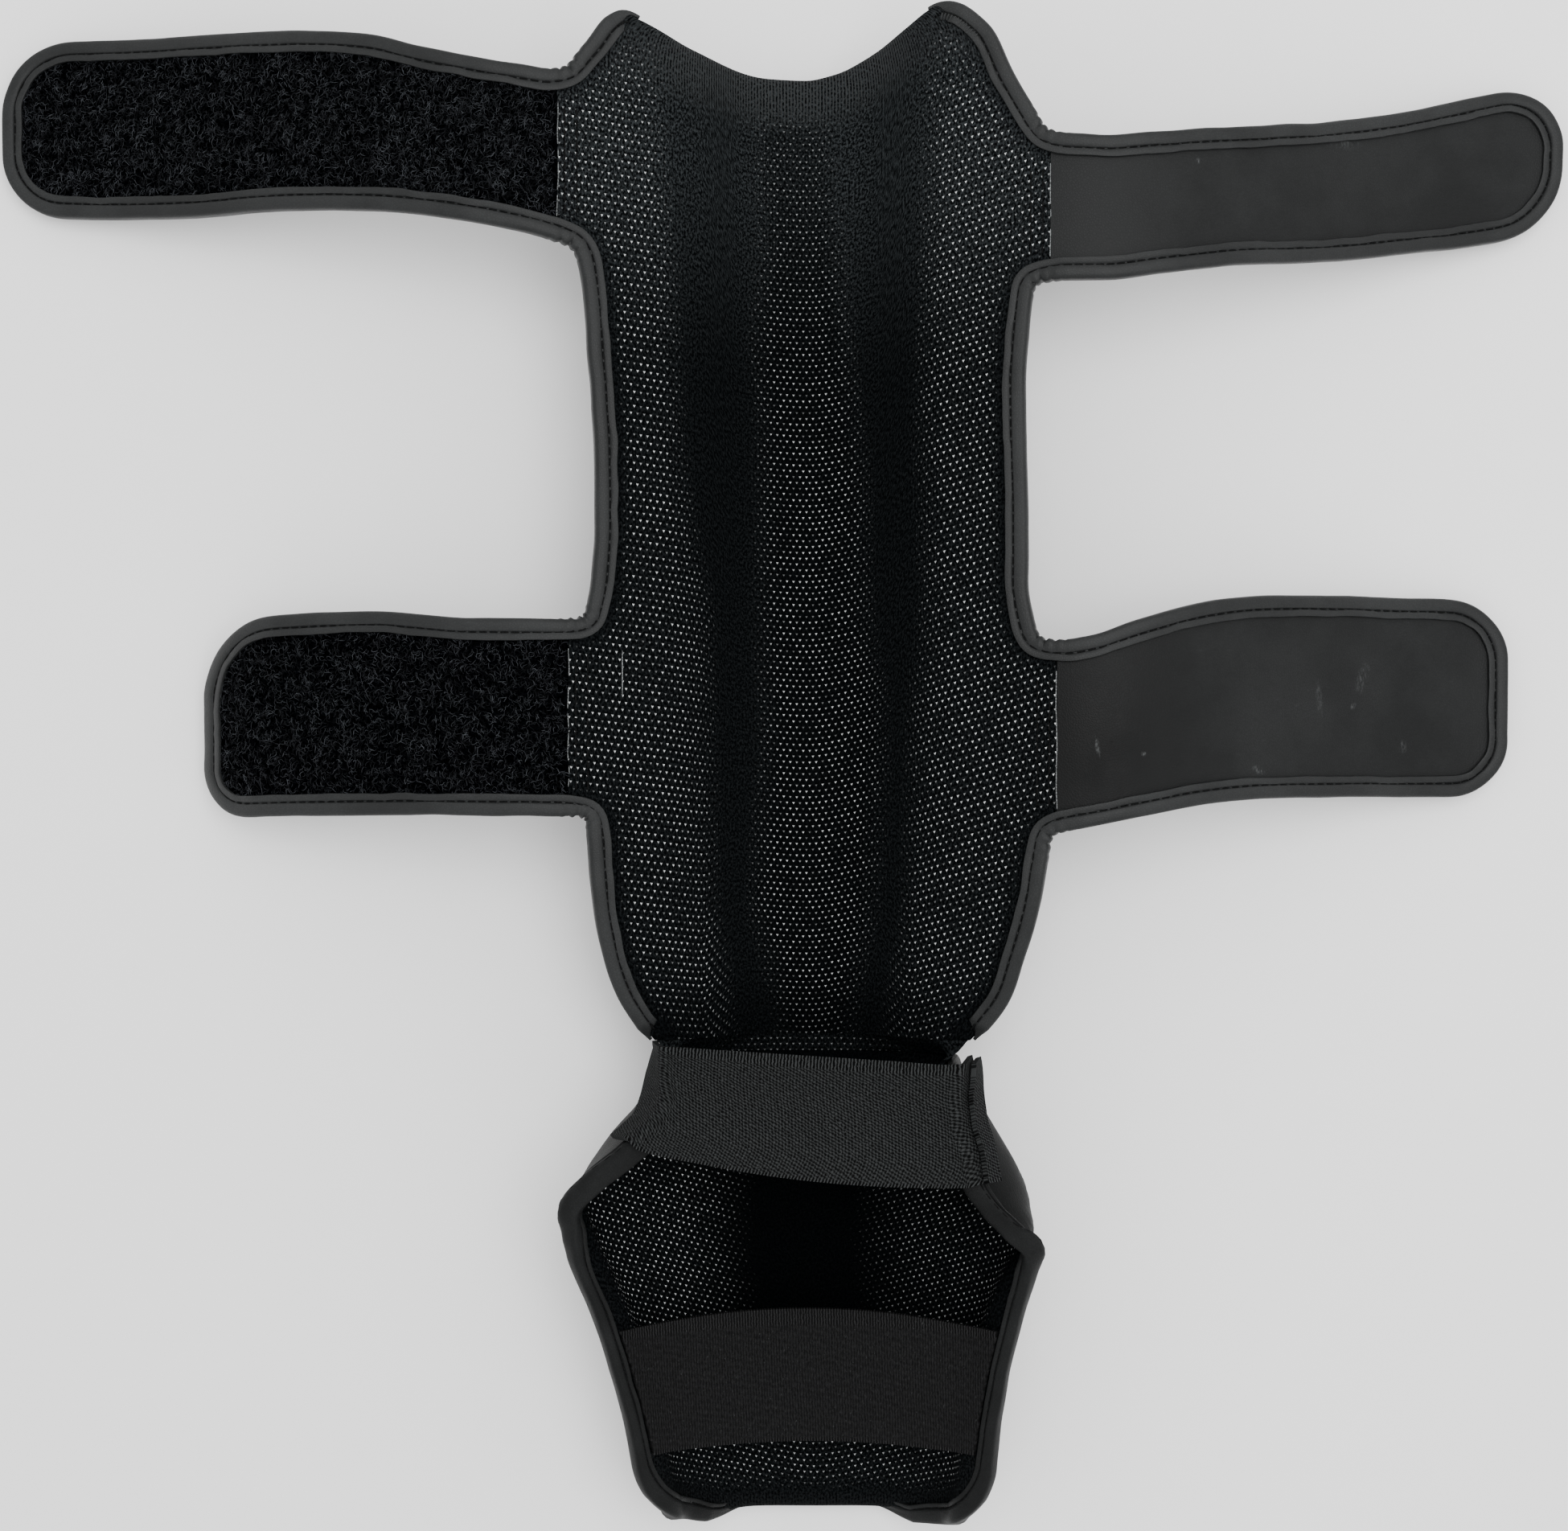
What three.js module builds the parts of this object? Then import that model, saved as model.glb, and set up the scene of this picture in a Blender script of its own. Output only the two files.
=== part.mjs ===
// Shin and instep guard, lying on its front with the leg side up and its four straps spread.
// Millimetres, +Z up, X across the shin, +Y towards the knee.
// The origin is on the floor, in the flat strip that the shin pad's padded front rests on.

import * as THREE from "three";

const { clamp, lerp, smoothstep } = THREE.MathUtils;

// Layers of the sewn walls
const LINING = 1.2; // mesh lining, and the loop pile of the left straps
const FLANGE = 4; // sewn edge of a pad, and a whole strap
const SEAT = 0.4; // gap that touching pieces keep
const WEBBING = 1.6; // elastic bands and the gusset's cloth
const FLOOR = 0; // level that the padded front is pressed flat on

// Folded tape that binds the edges: how far it laps over the edge, its cloth, and the fold's thickness
const TAPE = { lap: 4.4, cloth: 1.15, fold: 0.9 };
// Gaps inside the tape, over the leg face, under the front face and beyond the edge.
const SHIN_FOLD = { leg: 0.45, front: 0.55, edge: 1 };
const CUP_FOLD = { leg: 1, front: 0.6, edge: 1.2 };

// Shin pad by station: height of the trough's floor, rise of its walls and of the wings beside them,
// distances from the middle where a wall starts and ends, and padding under the flange thickness.
const SHIN = [
  { y: -82, floor: 13, wall: 18, wing: 6, foot: 8, crest: 44, padding: 4 },
  { y: -60, floor: 19, wall: 16, wing: 8, foot: 7, crest: 46, padding: 14 },
  { y: -30, floor: 23, wall: 16, wing: 10, foot: 9, crest: 46, padding: 23 },
  { y: 20, floor: 24, wall: 18, wing: 9, foot: 12, crest: 44, padding: 24 },
  { y: 100, floor: 24, wall: 19, wing: 8, foot: 12, crest: 43, padding: 24 },
  { y: 185, floor: 25, wall: 19, wing: 9, foot: 12, crest: 43, padding: 24 },
  { y: 224, floor: 27, wall: 18, wing: 10, foot: 11, crest: 44, padding: 10 },
];
const WING_END = 68; // distance from the middle where the wing has its whole rise
const PAD_SLOPE = { from: 12, to: 50, corner: 32 }; // distance from the edge over which the padding fills out

// Cut edge of the shin pad, as half-widths to the left and right. It steps out to each strap's seam.
const SHIN_LEFT = [
  { y: -82, half: 45.4 },
  { y: -77, half: 49.3 },
  { y: -68, half: 54.6 },
  { y: -58, half: 57.9 },
  { y: -40, half: 60.9 },
  { y: -19, half: 62.4 },
  { y: -14, half: 63.4 },
  { y: -12.4, half: 69.7 },
  { y: 40.4, half: 69.7 },
  { y: 42, half: 64 },
  { y: 46, half: 62.6 },
  { y: 54, half: 61 },
  { y: 71, half: 60 },
  { y: 92, half: 60.2 },
  { y: 118, half: 61.9 },
  { y: 143, half: 64 },
  { y: 149, half: 65.2 },
  { y: 153, half: 67.8 },
  { y: 156, half: 72.7 },
  { y: 199.6, half: 72.7 },
  { y: 201.8, half: 69 },
  { y: 206, half: 65.8 },
  { y: 210, half: 62.3 },
  { y: 220, half: 56 },
];
const SHIN_RIGHT = [
  { y: -82, half: 48.8 },
  { y: -77, half: 53 },
  { y: -68, half: 59 },
  { y: -58, half: 62 },
  { y: -40, half: 66.5 },
  { y: -24, half: 69 },
  { y: -19, half: 70.3 },
  { y: -17, half: 72.7 },
  { y: 33.6, half: 72.7 },
  { y: 36, half: 66.8 },
  { y: 41, half: 64.4 },
  { y: 54, half: 62.5 },
  { y: 73, half: 62.6 },
  { y: 92, half: 62 },
  { y: 111, half: 61.7 },
  { y: 130, half: 63 },
  { y: 138, half: 64 },
  { y: 142, half: 65.4 },
  { y: 144, half: 70.7 },
  { y: 181.6, half: 70.7 },
  { y: 184, half: 68.6 },
  { y: 190, half: 64.8 },
  { y: 203, half: 57.6 },
  { y: 212, half: 53.8 },
  { y: 223, half: 47.5 },
];

// Knee edge of the shin pad, across it from the left edge (-1) to the right edge (1).
const KNEE_EDGE = [
  { across: -1, y: 216 },
  { across: -0.95, y: 219.6 },
  { across: -0.86, y: 218 },
  { across: -0.55, y: 212.9 },
  { across: -0.25, y: 209.4 },
  { across: 0, y: 208.5 },
  { across: 0.14, y: 210 },
  { across: 0.33, y: 214 },
  { across: 0.6, y: 219.6 },
  { across: 0.83, y: 223 },
  { across: 0.93, y: 220.8 },
  { across: 1, y: 214.5 },
];
const KNEE_ROLL = { radius: 9, left: 50, right: 37, fade: 16 }; // round of the lining over that edge
const ANKLE_EDGE = -82; // shin pad's end at the ankle
const STEEPEST = 0.985; // share of a roll's quarter circle that is kept, just short of upright

// Straps: seam and tip as distances from the middle, radii of the tip's bottom and top corners, height
// and slope at the tip, how far it curls down and over what length, and the cut edges by distance.
const STRAPS = {
  upper_left: {
    side: -1, seam: 73, tip: 246.6, round: [16, 21], tipHeight: 6.3, tipSlope: 0, curl: 0, curlLength: 12,
    edges: [
      { x: 73, top: 199.8, bottom: 155 },
      { x: 91, top: 202.5, bottom: 158.9 },
      { x: 110, top: 206.5, bottom: 162.3 },
      { x: 128, top: 212.1, bottom: 164.8 },
      { x: 157, top: 216.4, bottom: 167.3 },
      { x: 188, top: 219, bottom: 168.3 },
      { x: 248, top: 222.5, bottom: 172.5 },
    ],
  },
  lower_left: {
    side: -1, seam: 70, tip: 183.8, round: [14, 22], tipHeight: 18.6, tipSlope: -0.3,
    curl: 11, curlLength: 26,
    edges: [
      { x: 70, top: 40.8, bottom: -12.9 },
      { x: 98, top: 41.2, bottom: -12.7 },
      { x: 114, top: 42.6, bottom: -12.6 },
      { x: 130, top: 43.9, bottom: -12.8 },
      { x: 154, top: 43.6, bottom: -13.3 },
      { x: 185, top: 41.5, bottom: -14.4 },
    ],
  },
  upper_right: {
    side: 1, seam: 71, tip: 232.2, round: [18, 20], tipHeight: 6.3, tipSlope: 0, curl: 0, curlLength: 12,
    edges: [
      { x: 71, top: 182.2, bottom: 143.4 },
      { x: 85, top: 181.2, bottom: 143.3 },
      { x: 103, top: 182.8, bottom: 145.6 },
      { x: 122, top: 185.3, bottom: 148.7 },
      { x: 152, top: 189.9, bottom: 152.3 },
      { x: 182, top: 196.9, bottom: 157.6 },
      { x: 203, top: 202.8, bottom: 161.4 },
      { x: 233, top: 211, bottom: 167.6 },
    ],
  },
  lower_right: {
    side: 1, seam: 73, tip: 215.2, round: [16, 17], tipHeight: 6.3, tipSlope: 0, curl: 0, curlLength: 12,
    edges: [
      { x: 73, top: 34.1, bottom: -17.6 },
      { x: 83, top: 36.1, bottom: -15.9 },
      { x: 99, top: 41.3, bottom: -12.7 },
      { x: 116, top: 45.9, bottom: -9.7 },
      { x: 134, top: 48.5, bottom: -8.1 },
      { x: 161, top: 49.4, bottom: -7.8 },
      { x: 217, top: 49.4, bottom: -7.8 },
    ],
  },
};
const BETWEEN_STRAPS = 96; // level along the shin that parts the upper straps from the lower ones
const SEAM_BEND = 0.9; // share of the wing's slope that a strap keeps past its seam
const HOOK = { from: 0.42, to: 0.92, inset: 8.5, height: 1.6 }; // hook patch under a right strap

// Instep cup by station: shift of its middle, floor height and half-width, then points up its side:
// the wall, the lip and the rim. At the ankle the rim curls in over the cup, and lower down it flares.
// The right rim curls in further, by the last column.
const CUP_NAMES = ["y", "shift", "floor", "flat", "wallX", "wallZ", "lipX", "lipZ", "rimX", "rimZ", "curl"];
const CUP = [
  [-230, 2.8, 10.5, 23, 37.5, 23, 41.3, 34, 47.8, 40, 0],
  [-200, 1.9, 10.5, 23, 42, 25, 44.6, 37, 51.8, 42, 0],
  [-181, 1, 10, 23, 46, 26, 48, 39.5, 55.6, 44, 0],
  [-162, 0.3, 9.5, 23, 50.5, 27, 53.2, 41, 60.6, 46, 0],
  [-143, -1.3, 9.5, 23, 57, 29, 59.5, 43, 65.6, 49.5, 1.6],
  [-131, -2.7, 10, 22, 59.5, 30, 62.5, 43, 65.2, 51, 10],
  [-124, -2.4, 10.5, 22, 57, 30, 60, 42.5, 59.5, 51.5, 9.5],
  [-115, -1.3, 11, 22, 51.5, 28.5, 54, 41, 49.5, 51, 4],
  [-106, 0.5, 12, 21, 45.5, 27, 47, 39, 41, 49.5, 1],
  [-96, 1, 13, 20, 41.5, 25.5, 42.5, 36.5, 38, 46.5, 0],
  [-86, 1.4, 13, 19, 38, 23.5, 39.5, 32.5, 38, 41.5, 0],
].map((row) => Object.fromEntries(row.map((value, i) => [CUP_NAMES[i], value])));
const CUP_START = -87.4; // instep cup's end at the ankle
const TOE = { edge: -229, corner: 13, radius: 5.5, whole: 18, none: 40 };
const TOE_EARS = { back: 3.4, from: 18, to: 62 }; // how far the toe edge steps back up its sides
// Padding under the cup's flange, by distance from the rim. It thins towards the ankle and the toe.
const CUP_PADDING = { depth: 7, from: 12, to: 32, ankleLength: 25, ankleShare: 0.3, toeShare: 0.4 };

// Elastic bands. The ankle band lies over the cup's curled wings and has a folded, sewn end at the
// right. The foot band hangs between the cup's side walls, where the sole of the foot comes.
const ANKLE_BAND = { leftTop: -82.6, leftBottom: -114, rightTop: -88.5, rightBottom: -123, bow: 3.4 };
// Distances in from the rim, on the cup's outside, and the spare gap over the rim's tape.
const ANKLE_WRAP = { high: 13, low: 7, top: 2.5, clear: 8.5, spare: 0.1 };
const ANKLE_OVER = [{ beyond: 2.6, depth: 6 }, { beyond: 4, depth: 3.4 }]; // round the rim's tape
// Folded end, as distances in from the right rim along the band's two edges.
const TAB = { high: { from: 9.5, to: 2.5 }, low: { from: 4, to: -2 } };
const tabEnd = (which, across) => lerp(TAB.low[which], TAB.high[which], across);
const FOOT_BAND = {
  top: -165, bottom: -201.6, topArch: 4.5, bottomArch: 1.5, sag: 6,
  end: { inward: 8, height: 0.6 }, turn: { inward: 14, height: 3.5 },
};

// Value of a table's column on a smooth curve through its rows that never overshoots them.
function read(table, key, column, at) {
  const last = table.length - 1;
  let i = 0;
  while (i < last - 1 && at > table[i + 1][key]) i++;
  const secant = (k) =>
    (table[k + 1][column] - table[k][column]) / (table[k + 1][key] - table[k][key]);
  const slope = (k) => {
    if (k === 0 || k === last) return secant(Math.min(k, last - 1));
    const before = secant(k - 1);
    const after = secant(k);
    return before * after <= 0 ? 0 : (2 * before * after) / (before + after);
  };
  const span = table[i + 1][key] - table[i][key];
  const t = clamp((at - table[i][key]) / span, 0, 1);
  return hermite(t, table[i][column], slope(i) * span, table[i + 1][column], slope(i + 1) * span);
}

function hermite(t, from, fromSlope, to, toSlope) {
  const back = 1 - t;
  return (
    from * (1 + 2 * t) * back * back +
    fromSlope * t * back * back +
    to * t * t * (3 - 2 * t) -
    toSlope * t * t * back
  );
}

// Fall of a rolled edge's quarter circle at a distance past the roll's start.
function rollDrop(radius, past) {
  const reach = clamp(past, 0, radius * STEEPEST);
  return radius - Math.sqrt(radius * radius - reach * reach);
}

// Shin pad and straps

const halfWidth = (side, y) => read(side < 0 ? SHIN_LEFT : SHIN_RIGHT, "y", "half", y);
const kneeEdge = (across) => read(KNEE_EDGE, "across", "y", across);

// Share of the knee roll at a distance across: whole in the middle, none at the bound corners.
function rollShare(x) {
  const end = x < 0 ? KNEE_ROLL.left : KNEE_ROLL.right;
  return 1 - smoothstep(Math.abs(x), end - KNEE_ROLL.fade, end);
}

// Height of the pad's leg side, a trough with walls and flatter wings, rolled over at the knee edge.
function padHeight(x, y) {
  const column = (name) => read(SHIN, "y", name, y);
  const out = Math.abs(x);
  const foot = column("foot");
  const wall = column("wall") * smoothstep(out, foot, column("crest"));
  const wing = column("wing") * Math.max(0, (out - foot) / (WING_END - foot)) ** 1.5;
  const past = y - (kneeEdge(clamp(x / halfWidth(x, y), -1, 1)) - KNEE_ROLL.radius);
  return column("floor") + wall + wing - rollShare(x) * rollDrop(KNEE_ROLL.radius, past);
}

const strapAt = (x, y) =>
  STRAPS[`${y > BETWEEN_STRAPS ? "upper" : "lower"}_${x < 0 ? "left" : "right"}`];

// Height of a strap's leg side: it leaves the wing with the wing's slope and comes down to the floor.
function strapHeight(strap, x, y) {
  const reach = strap.tip - strap.seam;
  const along = Math.abs(x) - strap.seam;
  const level = clamp(y, strap.edges[0].bottom, strap.edges[0].top);
  const wing = (out) => padHeight(strap.side * out, level);
  const slope = SEAM_BEND * (wing(strap.seam) - wing(strap.seam - 1));
  const fallen = hermite(
    Math.min(along / reach, 1), wing(strap.seam), slope * reach, strap.tipHeight, strap.tipSlope * reach,
  );
  const past = Math.max(0, along - reach);
  const curled = Math.max(0, along - reach + strap.curlLength) / strap.curlLength;
  return fallen + past * strap.tipSlope - strap.curl * curled * curled;
}

function legSide(x, y) {
  const strap = strapAt(x, y);
  const height = Math.abs(x) > strap.seam ? strapHeight(strap, x, y) : padHeight(x, y);
  return new THREE.Vector3(x, y, height);
}

// Turns a surface into a function for points at a height off it, along its normal.
function lifter(surface) {
  const step = 0.05;
  return (p, q, height) => {
    const alongP = surface(p + step, q).sub(surface(p - step, q));
    const alongQ = surface(p, q + step).sub(surface(p, q - step));
    const normal = alongP.cross(alongQ).normalize();
    return surface(p, q).addScaledVector(normal, height);
  };
}

const legLift = lifter(legSide);

// Padding under the flange: none along the sewn edges, full in the middle.
function padding(x, y) {
  const edge = halfWidth(x, y) - Math.abs(x);
  const kneeward = kneeEdge(clamp(x / halfWidth(x, y), -1, 1)) - y;
  const corner = lerp(smoothstep(kneeward, PAD_SLOPE.from, PAD_SLOPE.corner), 1, rollShare(x));
  const side = smoothstep(edge, PAD_SLOPE.from, PAD_SLOPE.to);
  return read(SHIN, "y", "padding", y) * side * corner;
}

// Front of the shin pad, straight under the flange's outer face and pressed flat on the floor.
function shinFront(x, y) {
  const point = legLift(x, y, -FLANGE);
  point.z = Math.max(FLOOR, point.z - padding(x, y));
  return point;
}

// Instep cup, on a grid of distance along its section from the middle, and of the station

const sections = new Map();

// Section of the cup's inside at a station, as a curve from its left rim to its right rim.
function cupSection(y) {
  if (sections.has(y)) return sections.get(y);
  const column = (name) => read(CUP, "y", name, y);
  const floor = column("floor");
  const half = [
    [column("rimX"), column("rimZ")],
    [column("lipX"), column("lipZ")],
    [column("wallX"), column("wallZ")],
    [column("flat"), lerp(floor, column("wallZ"), 0.1)],
  ];
  const outline = [
    ...half.map(([x, z]) => [-x, z]),
    [0, floor],
    ...half.slice(1).reverse(),
    [column("rimX") - column("curl"), column("rimZ")],
  ].map(([x, z]) => new THREE.Vector2(x + column("shift"), z));
  const curve = new THREE.SplineCurve(outline);
  const section = { curve, half: curve.getLength() / 2 };
  sections.set(y, section);
  return section;
}

const rimAt = (y) => cupSection(y).half;

// Toe edge of the cup, with its corners rounded off.
function toeEdge(q) {
  const past = clamp(Math.abs(q) - (rimAt(TOE.edge) - TOE.corner), 0, TOE.corner * STEEPEST);
  const ear = TOE_EARS.back * smoothstep(Math.abs(q), TOE_EARS.from, TOE_EARS.to);
  return TOE.edge + ear + TOE.corner - Math.sqrt(TOE.corner ** 2 - past * past);
}

const toeRoll = (q) => 1 - smoothstep(Math.abs(q), TOE.whole, TOE.none);

function cupSide(q, y) {
  const { curve, half } = cupSection(y);
  const along = clamp((q + half) / (2 * half), 0, 1);
  const past = q - (along * 2 - 1) * half;
  const point = curve.getPointAt(along);
  if (past) point.addScaledVector(curve.getTangentAt(along), past);
  const fall = toeRoll(q) * rollDrop(TOE.radius, toeEdge(q) + TOE.radius - y);
  return new THREE.Vector3(point.x, y, point.y - fall);
}

const cupLift = lifter(cupSide);

function cupThickness(q, y) {
  const { depth, from, to, ankleLength, ankleShare, toeShare } = CUP_PADDING;
  const ankle = smoothstep(CUP_START - y, 0, ankleLength);
  const rim = smoothstep(rimAt(y) - Math.abs(q), from, to);
  const toe = smoothstep(y - toeEdge(q), from, to);
  return FLANGE + depth * rim * lerp(ankleShare, 1, ankle) * lerp(toeShare * toeRoll(q), 1, toe);
}

function cupFront(q, y) {
  const point = cupLift(q, y, -cupThickness(q, y));
  point.z = Math.max(FLOOR, point.z);
  return point;
}

// Solids

const range = (count, from, to) =>
  Array.from({ length: count + 1 }, (_, i) => lerp(from, to, i / count));

const grid = (rows, columns, point) => rows.map((row) => columns.map((column) => point(row, column)));

function closed(points, index) {
  const geometry = new THREE.BufferGeometry().setFromPoints(points);
  const volume = (a, b, c) => points[a].dot(points[b].clone().cross(points[c]));
  let total = 0;
  for (let i = 0; i < index.length; i += 3) total += volume(index[i], index[i + 1], index[i + 2]);
  geometry.setIndex(total < 0 ? index.reverse() : index);
  geometry.computeVertexNormals();
  return geometry;
}

// Wall between two grids of points with the same rows and columns.
function wall(upper, lower) {
  const rows = upper.length;
  const columns = upper[0].length;
  const index = [];
  const face = (a, b, c, d) => index.push(a, b, c, a, c, d);
  const above = (r, c) => r * columns + c;
  const below = (r, c) => (rows + r) * columns + c;
  for (let r = 0; r < rows - 1; r++) {
    for (let c = 0; c < columns - 1; c++) {
      face(above(r, c), above(r, c + 1), above(r + 1, c + 1), above(r + 1, c));
      face(below(r, c), below(r + 1, c), below(r + 1, c + 1), below(r, c + 1));
    }
    face(below(r + 1, 0), below(r, 0), above(r, 0), above(r + 1, 0));
    const c = columns - 1;
    face(below(r, c), below(r + 1, c), above(r + 1, c), above(r, c));
  }
  for (let c = 0; c < columns - 1; c++) {
    face(below(0, c), below(0, c + 1), above(0, c + 1), above(0, c));
    const r = rows - 1;
    face(below(r, c + 1), below(r, c), above(r, c), above(r, c + 1));
  }
  return closed([...upper.flat(), ...lower.flat()], index);
}

// Folded tape's section: distance out from the bound edge, and height off the bound surface.
function tapeSection(gaps) {
  const over = gaps.leg + TAPE.cloth;
  const under = -FLANGE - gaps.front;
  const outside = gaps.edge + TAPE.fold;
  return [
    [-TAPE.lap, gaps.leg],
    [-TAPE.lap, over],
    [outside - TAPE.cloth, over],
    [outside, 0],
    [outside, -FLANGE],
    [outside - TAPE.cloth, under - TAPE.cloth],
    [-TAPE.lap, under - TAPE.cloth],
    [-TAPE.lap, under],
    [gaps.edge, under],
    [gaps.edge, gaps.leg],
  ];
}

// Tape folded over an edge. The route holds the edge's points on the surface's own grid.
function tape(route, lift, outwardTurn, gaps) {
  const curve = new THREE.CatmullRomCurve3(route.map(([p, q]) => new THREE.Vector3(p, q, 0)));
  const steps = route.length - 1;
  const index = [];
  const points = [];
  const section = tapeSection(gaps);
  const sides = section.length;
  for (let i = 0; i <= steps; i++) {
    const at = curve.getPoint(i / steps);
    const along = curve.getTangent(i / steps);
    const out = new THREE.Vector2(along.y, -along.x).multiplyScalar(outwardTurn);
    for (const [far, height] of section)
      points.push(lift(at.x + out.x * far, at.y + out.y * far, height));
    if (i === steps) continue;
    for (let k = 0; k < sides; k++) {
      const a = i * sides + k;
      const b = i * sides + ((k + 1) % sides);
      index.push(a, b, b + sides, a, b + sides, a + sides);
    }
  }
  const contour = section.map(([far, height]) => new THREE.Vector2(far, height));
  const end = steps * sides;
  for (const [a, b, c] of THREE.ShapeUtils.triangulateShape(contour, [])) {
    const turned = THREE.ShapeUtils.isClockWise(contour) ? [a, b, c] : [a, c, b];
    index.push(...turned, ...turned.map((k) => k + end).reverse());
  }
  return closed(points, index);
}

// Shin pad pieces

// Rows of the pad's grid, at the left and right edges, and which stretch of the edge they are on:
// free at the ankle, calf or knee, where the tape binds it, or in a strap's seam.
const SHIN_ROWS = [
  { left: -82, right: -82, stretch: "end" },
  { left: -75, right: -75, stretch: "ankle" },
  { left: -66, right: -67, stretch: "ankle" },
  { left: -54, right: -56, stretch: "ankle" },
  { left: -38, right: -42, stretch: "ankle" },
  { left: -19, right: -24, stretch: "ankle" },
  { left: -14, right: -19, stretch: "ankle" },
  { left: -12.4, right: -17, stretch: "seam" },
  { left: 40.4, right: 33.6, stretch: "seam" },
  { left: 42, right: 36, stretch: "calf" },
  { left: 46, right: 41, stretch: "calf" },
  { left: 62, right: 58, stretch: "calf" },
  { left: 90, right: 84, stretch: "calf" },
  { left: 120, right: 112, stretch: "calf" },
  { left: 149, right: 138, stretch: "calf" },
  { left: 153, right: 142, stretch: "calf" },
  { left: 156, right: 144, stretch: "seam" },
  { left: 199.6, right: 181.6, stretch: "seam" },
  { left: 201.8, right: 184, stretch: "knee" },
  { left: 206, right: 190, stretch: "knee" },
];
const KNEE_SHARES = [0.25, 0.5, 0.75, 0.91, 1]; // rows between the last of them and the knee edge
const LAP_COLUMN = 0.93; // column under the inner edge of the tape's lap
const SHIN_COLUMNS = [-1, ...range(11, -LAP_COLUMN, LAP_COLUMN), 1];

const rowLevel = (row, across) => lerp(row.left, row.right, (across + 1) / 2);

function shinGrid(point) {
  const last = SHIN_ROWS.at(-1);
  const rows = [
    ...SHIN_ROWS.map((row) => (across) => rowLevel(row, across)),
    ...KNEE_SHARES.map((share) => (across) => lerp(rowLevel(last, across), kneeEdge(across), share)),
  ];
  return grid(rows, SHIN_COLUMNS, (level, across) => {
    const y = level(across);
    return point(across * halfWidth(across, y), y);
  });
}

const shinLining = () =>
  wall(shinGrid((x, y) => legLift(x, y, 0)), shinGrid((x, y) => legLift(x, y, -LINING)));

const shinShell = () => wall(shinGrid((x, y) => legLift(x, y, -LINING - SEAT)), shinGrid(shinFront));

// Cut edges of a strap at a distance from the middle, rounded off at the tip's corners.
function strapEdges(strap, out) {
  const inset = (radius) => {
    const past = clamp(out - (strap.tip - radius), 0, radius * STEEPEST);
    return radius - Math.sqrt(radius * radius - past * past);
  };
  const [bottom, top] = strap.round;
  const cut = (name) => read(strap.edges, "x", name, out);
  return [cut("bottom") + inset(bottom), cut("top") - inset(top)];
}

const TIP_ROUND = [0.35, 0.7, 0.9, 1]; // steps along a tip's rounded corner

function strapStations(strap) {
  const corner = Math.max(...strap.round);
  const straight = strap.tip - corner;
  return [
    ...range(9, strap.seam + SEAT, straight),
    ...TIP_ROUND.map((share) => straight + corner * share),
  ];
}

// Layer of a strap between two depths under its leg side.
function strapLayer(strap, upper, lower) {
  const point = (depth) => (out, across) => {
    const [bottom, top] = strapEdges(strap, out);
    return legLift(strap.side * out, lerp(bottom, top, across), -depth);
  };
  const rows = strapStations(strap);
  const columns = range(2, 0, 1);
  return wall(grid(rows, columns, point(upper)), grid(rows, columns, point(lower)));
}

// Hook patch on the front side of a strap, inside its bound edges.
function hookPatch(strap) {
  const rows = range(7, lerp(strap.seam, strap.tip, HOOK.from), lerp(strap.seam, strap.tip, HOOK.to));
  const point = (depth) => (out, across) => {
    const [bottom, top] = strapEdges(strap, out);
    const y = lerp(bottom + HOOK.inset, top - HOOK.inset, across);
    return legLift(strap.side * out, y, -depth);
  };
  const under = FLANGE + SEAT;
  return wall(
    grid(rows, range(2, 0, 1), point(under)),
    grid(rows, range(2, 0, 1), point(under + HOOK.height)),
  );
}

const FILLET = 2; // distance past the seam where the tape has turned onto a strap's edge

// Route of the tape round one strap: out along its lower edge, round the tip, back along the upper.
function strapRoute(strap) {
  const [first, ...rest] = strapStations(strap);
  const stations = [first + FILLET, ...rest];
  const edge = (which) => (out) => [strap.side * out, strapEdges(strap, out)[which]];
  return [...stations.map(edge(0)), ...stations.reverse().map(edge(1))];
}

const TAPE_START = -81.4; // level where the tape starts at the ankle
const KNEE_CORNER = { left: [1, 0.96, 0.91, 0.86], right: [1, 0.95, 0.88, 0.8, 0.74] }; // shares across

// Route of the tape along one side of the shin pad, from the ankle round both straps to the knee edge.
function shinRoute(name) {
  const side = STRAPS[`upper_${name}`].side;
  const spot = (y) => [side * halfWidth(side, y), y];
  const rowsOf = (stretch) => SHIN_ROWS.filter((row) => row.stretch === stretch);
  const along = (stretch) => rowsOf(stretch).map((row) => spot(row[name]));
  const corner = KNEE_CORNER[name].map((across) => {
    const y = kneeEdge(side * across);
    return [side * across * halfWidth(side, y), y];
  });
  return [
    spot(TAPE_START),
    ...along("ankle"),
    ...strapRoute(STRAPS[`lower_${name}`]),
    ...along("calf"),
    ...strapRoute(STRAPS[`upper_${name}`]),
    ...along("knee"),
    ...corner,
  ];
}

// Ankle gusset: the strip of cloth that joins the two pads' ends.
function ankleGusset() {
  const columns = range(16, -0.9, 0.9);
  const half = (across) => halfWidth(across, ANKLE_EDGE);
  const shinEnd = (depth) => (across) => legLift(across * half(across), ANKLE_EDGE - SEAT, -depth);
  const cupEnd = (depth) => (across) => cupLift(across * rimAt(CUP_START), CUP_START + SEAT, -depth);
  const fold = (depth) => (across) => shinEnd(depth)(across).lerp(cupEnd(depth)(across), 0.5);
  const rows = (depth) => [cupEnd, fold, shinEnd].map((line) => columns.map(line(depth)));
  return wall(rows(LINING), rows(LINING + WEBBING));
}

// Instep cup pieces

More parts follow.
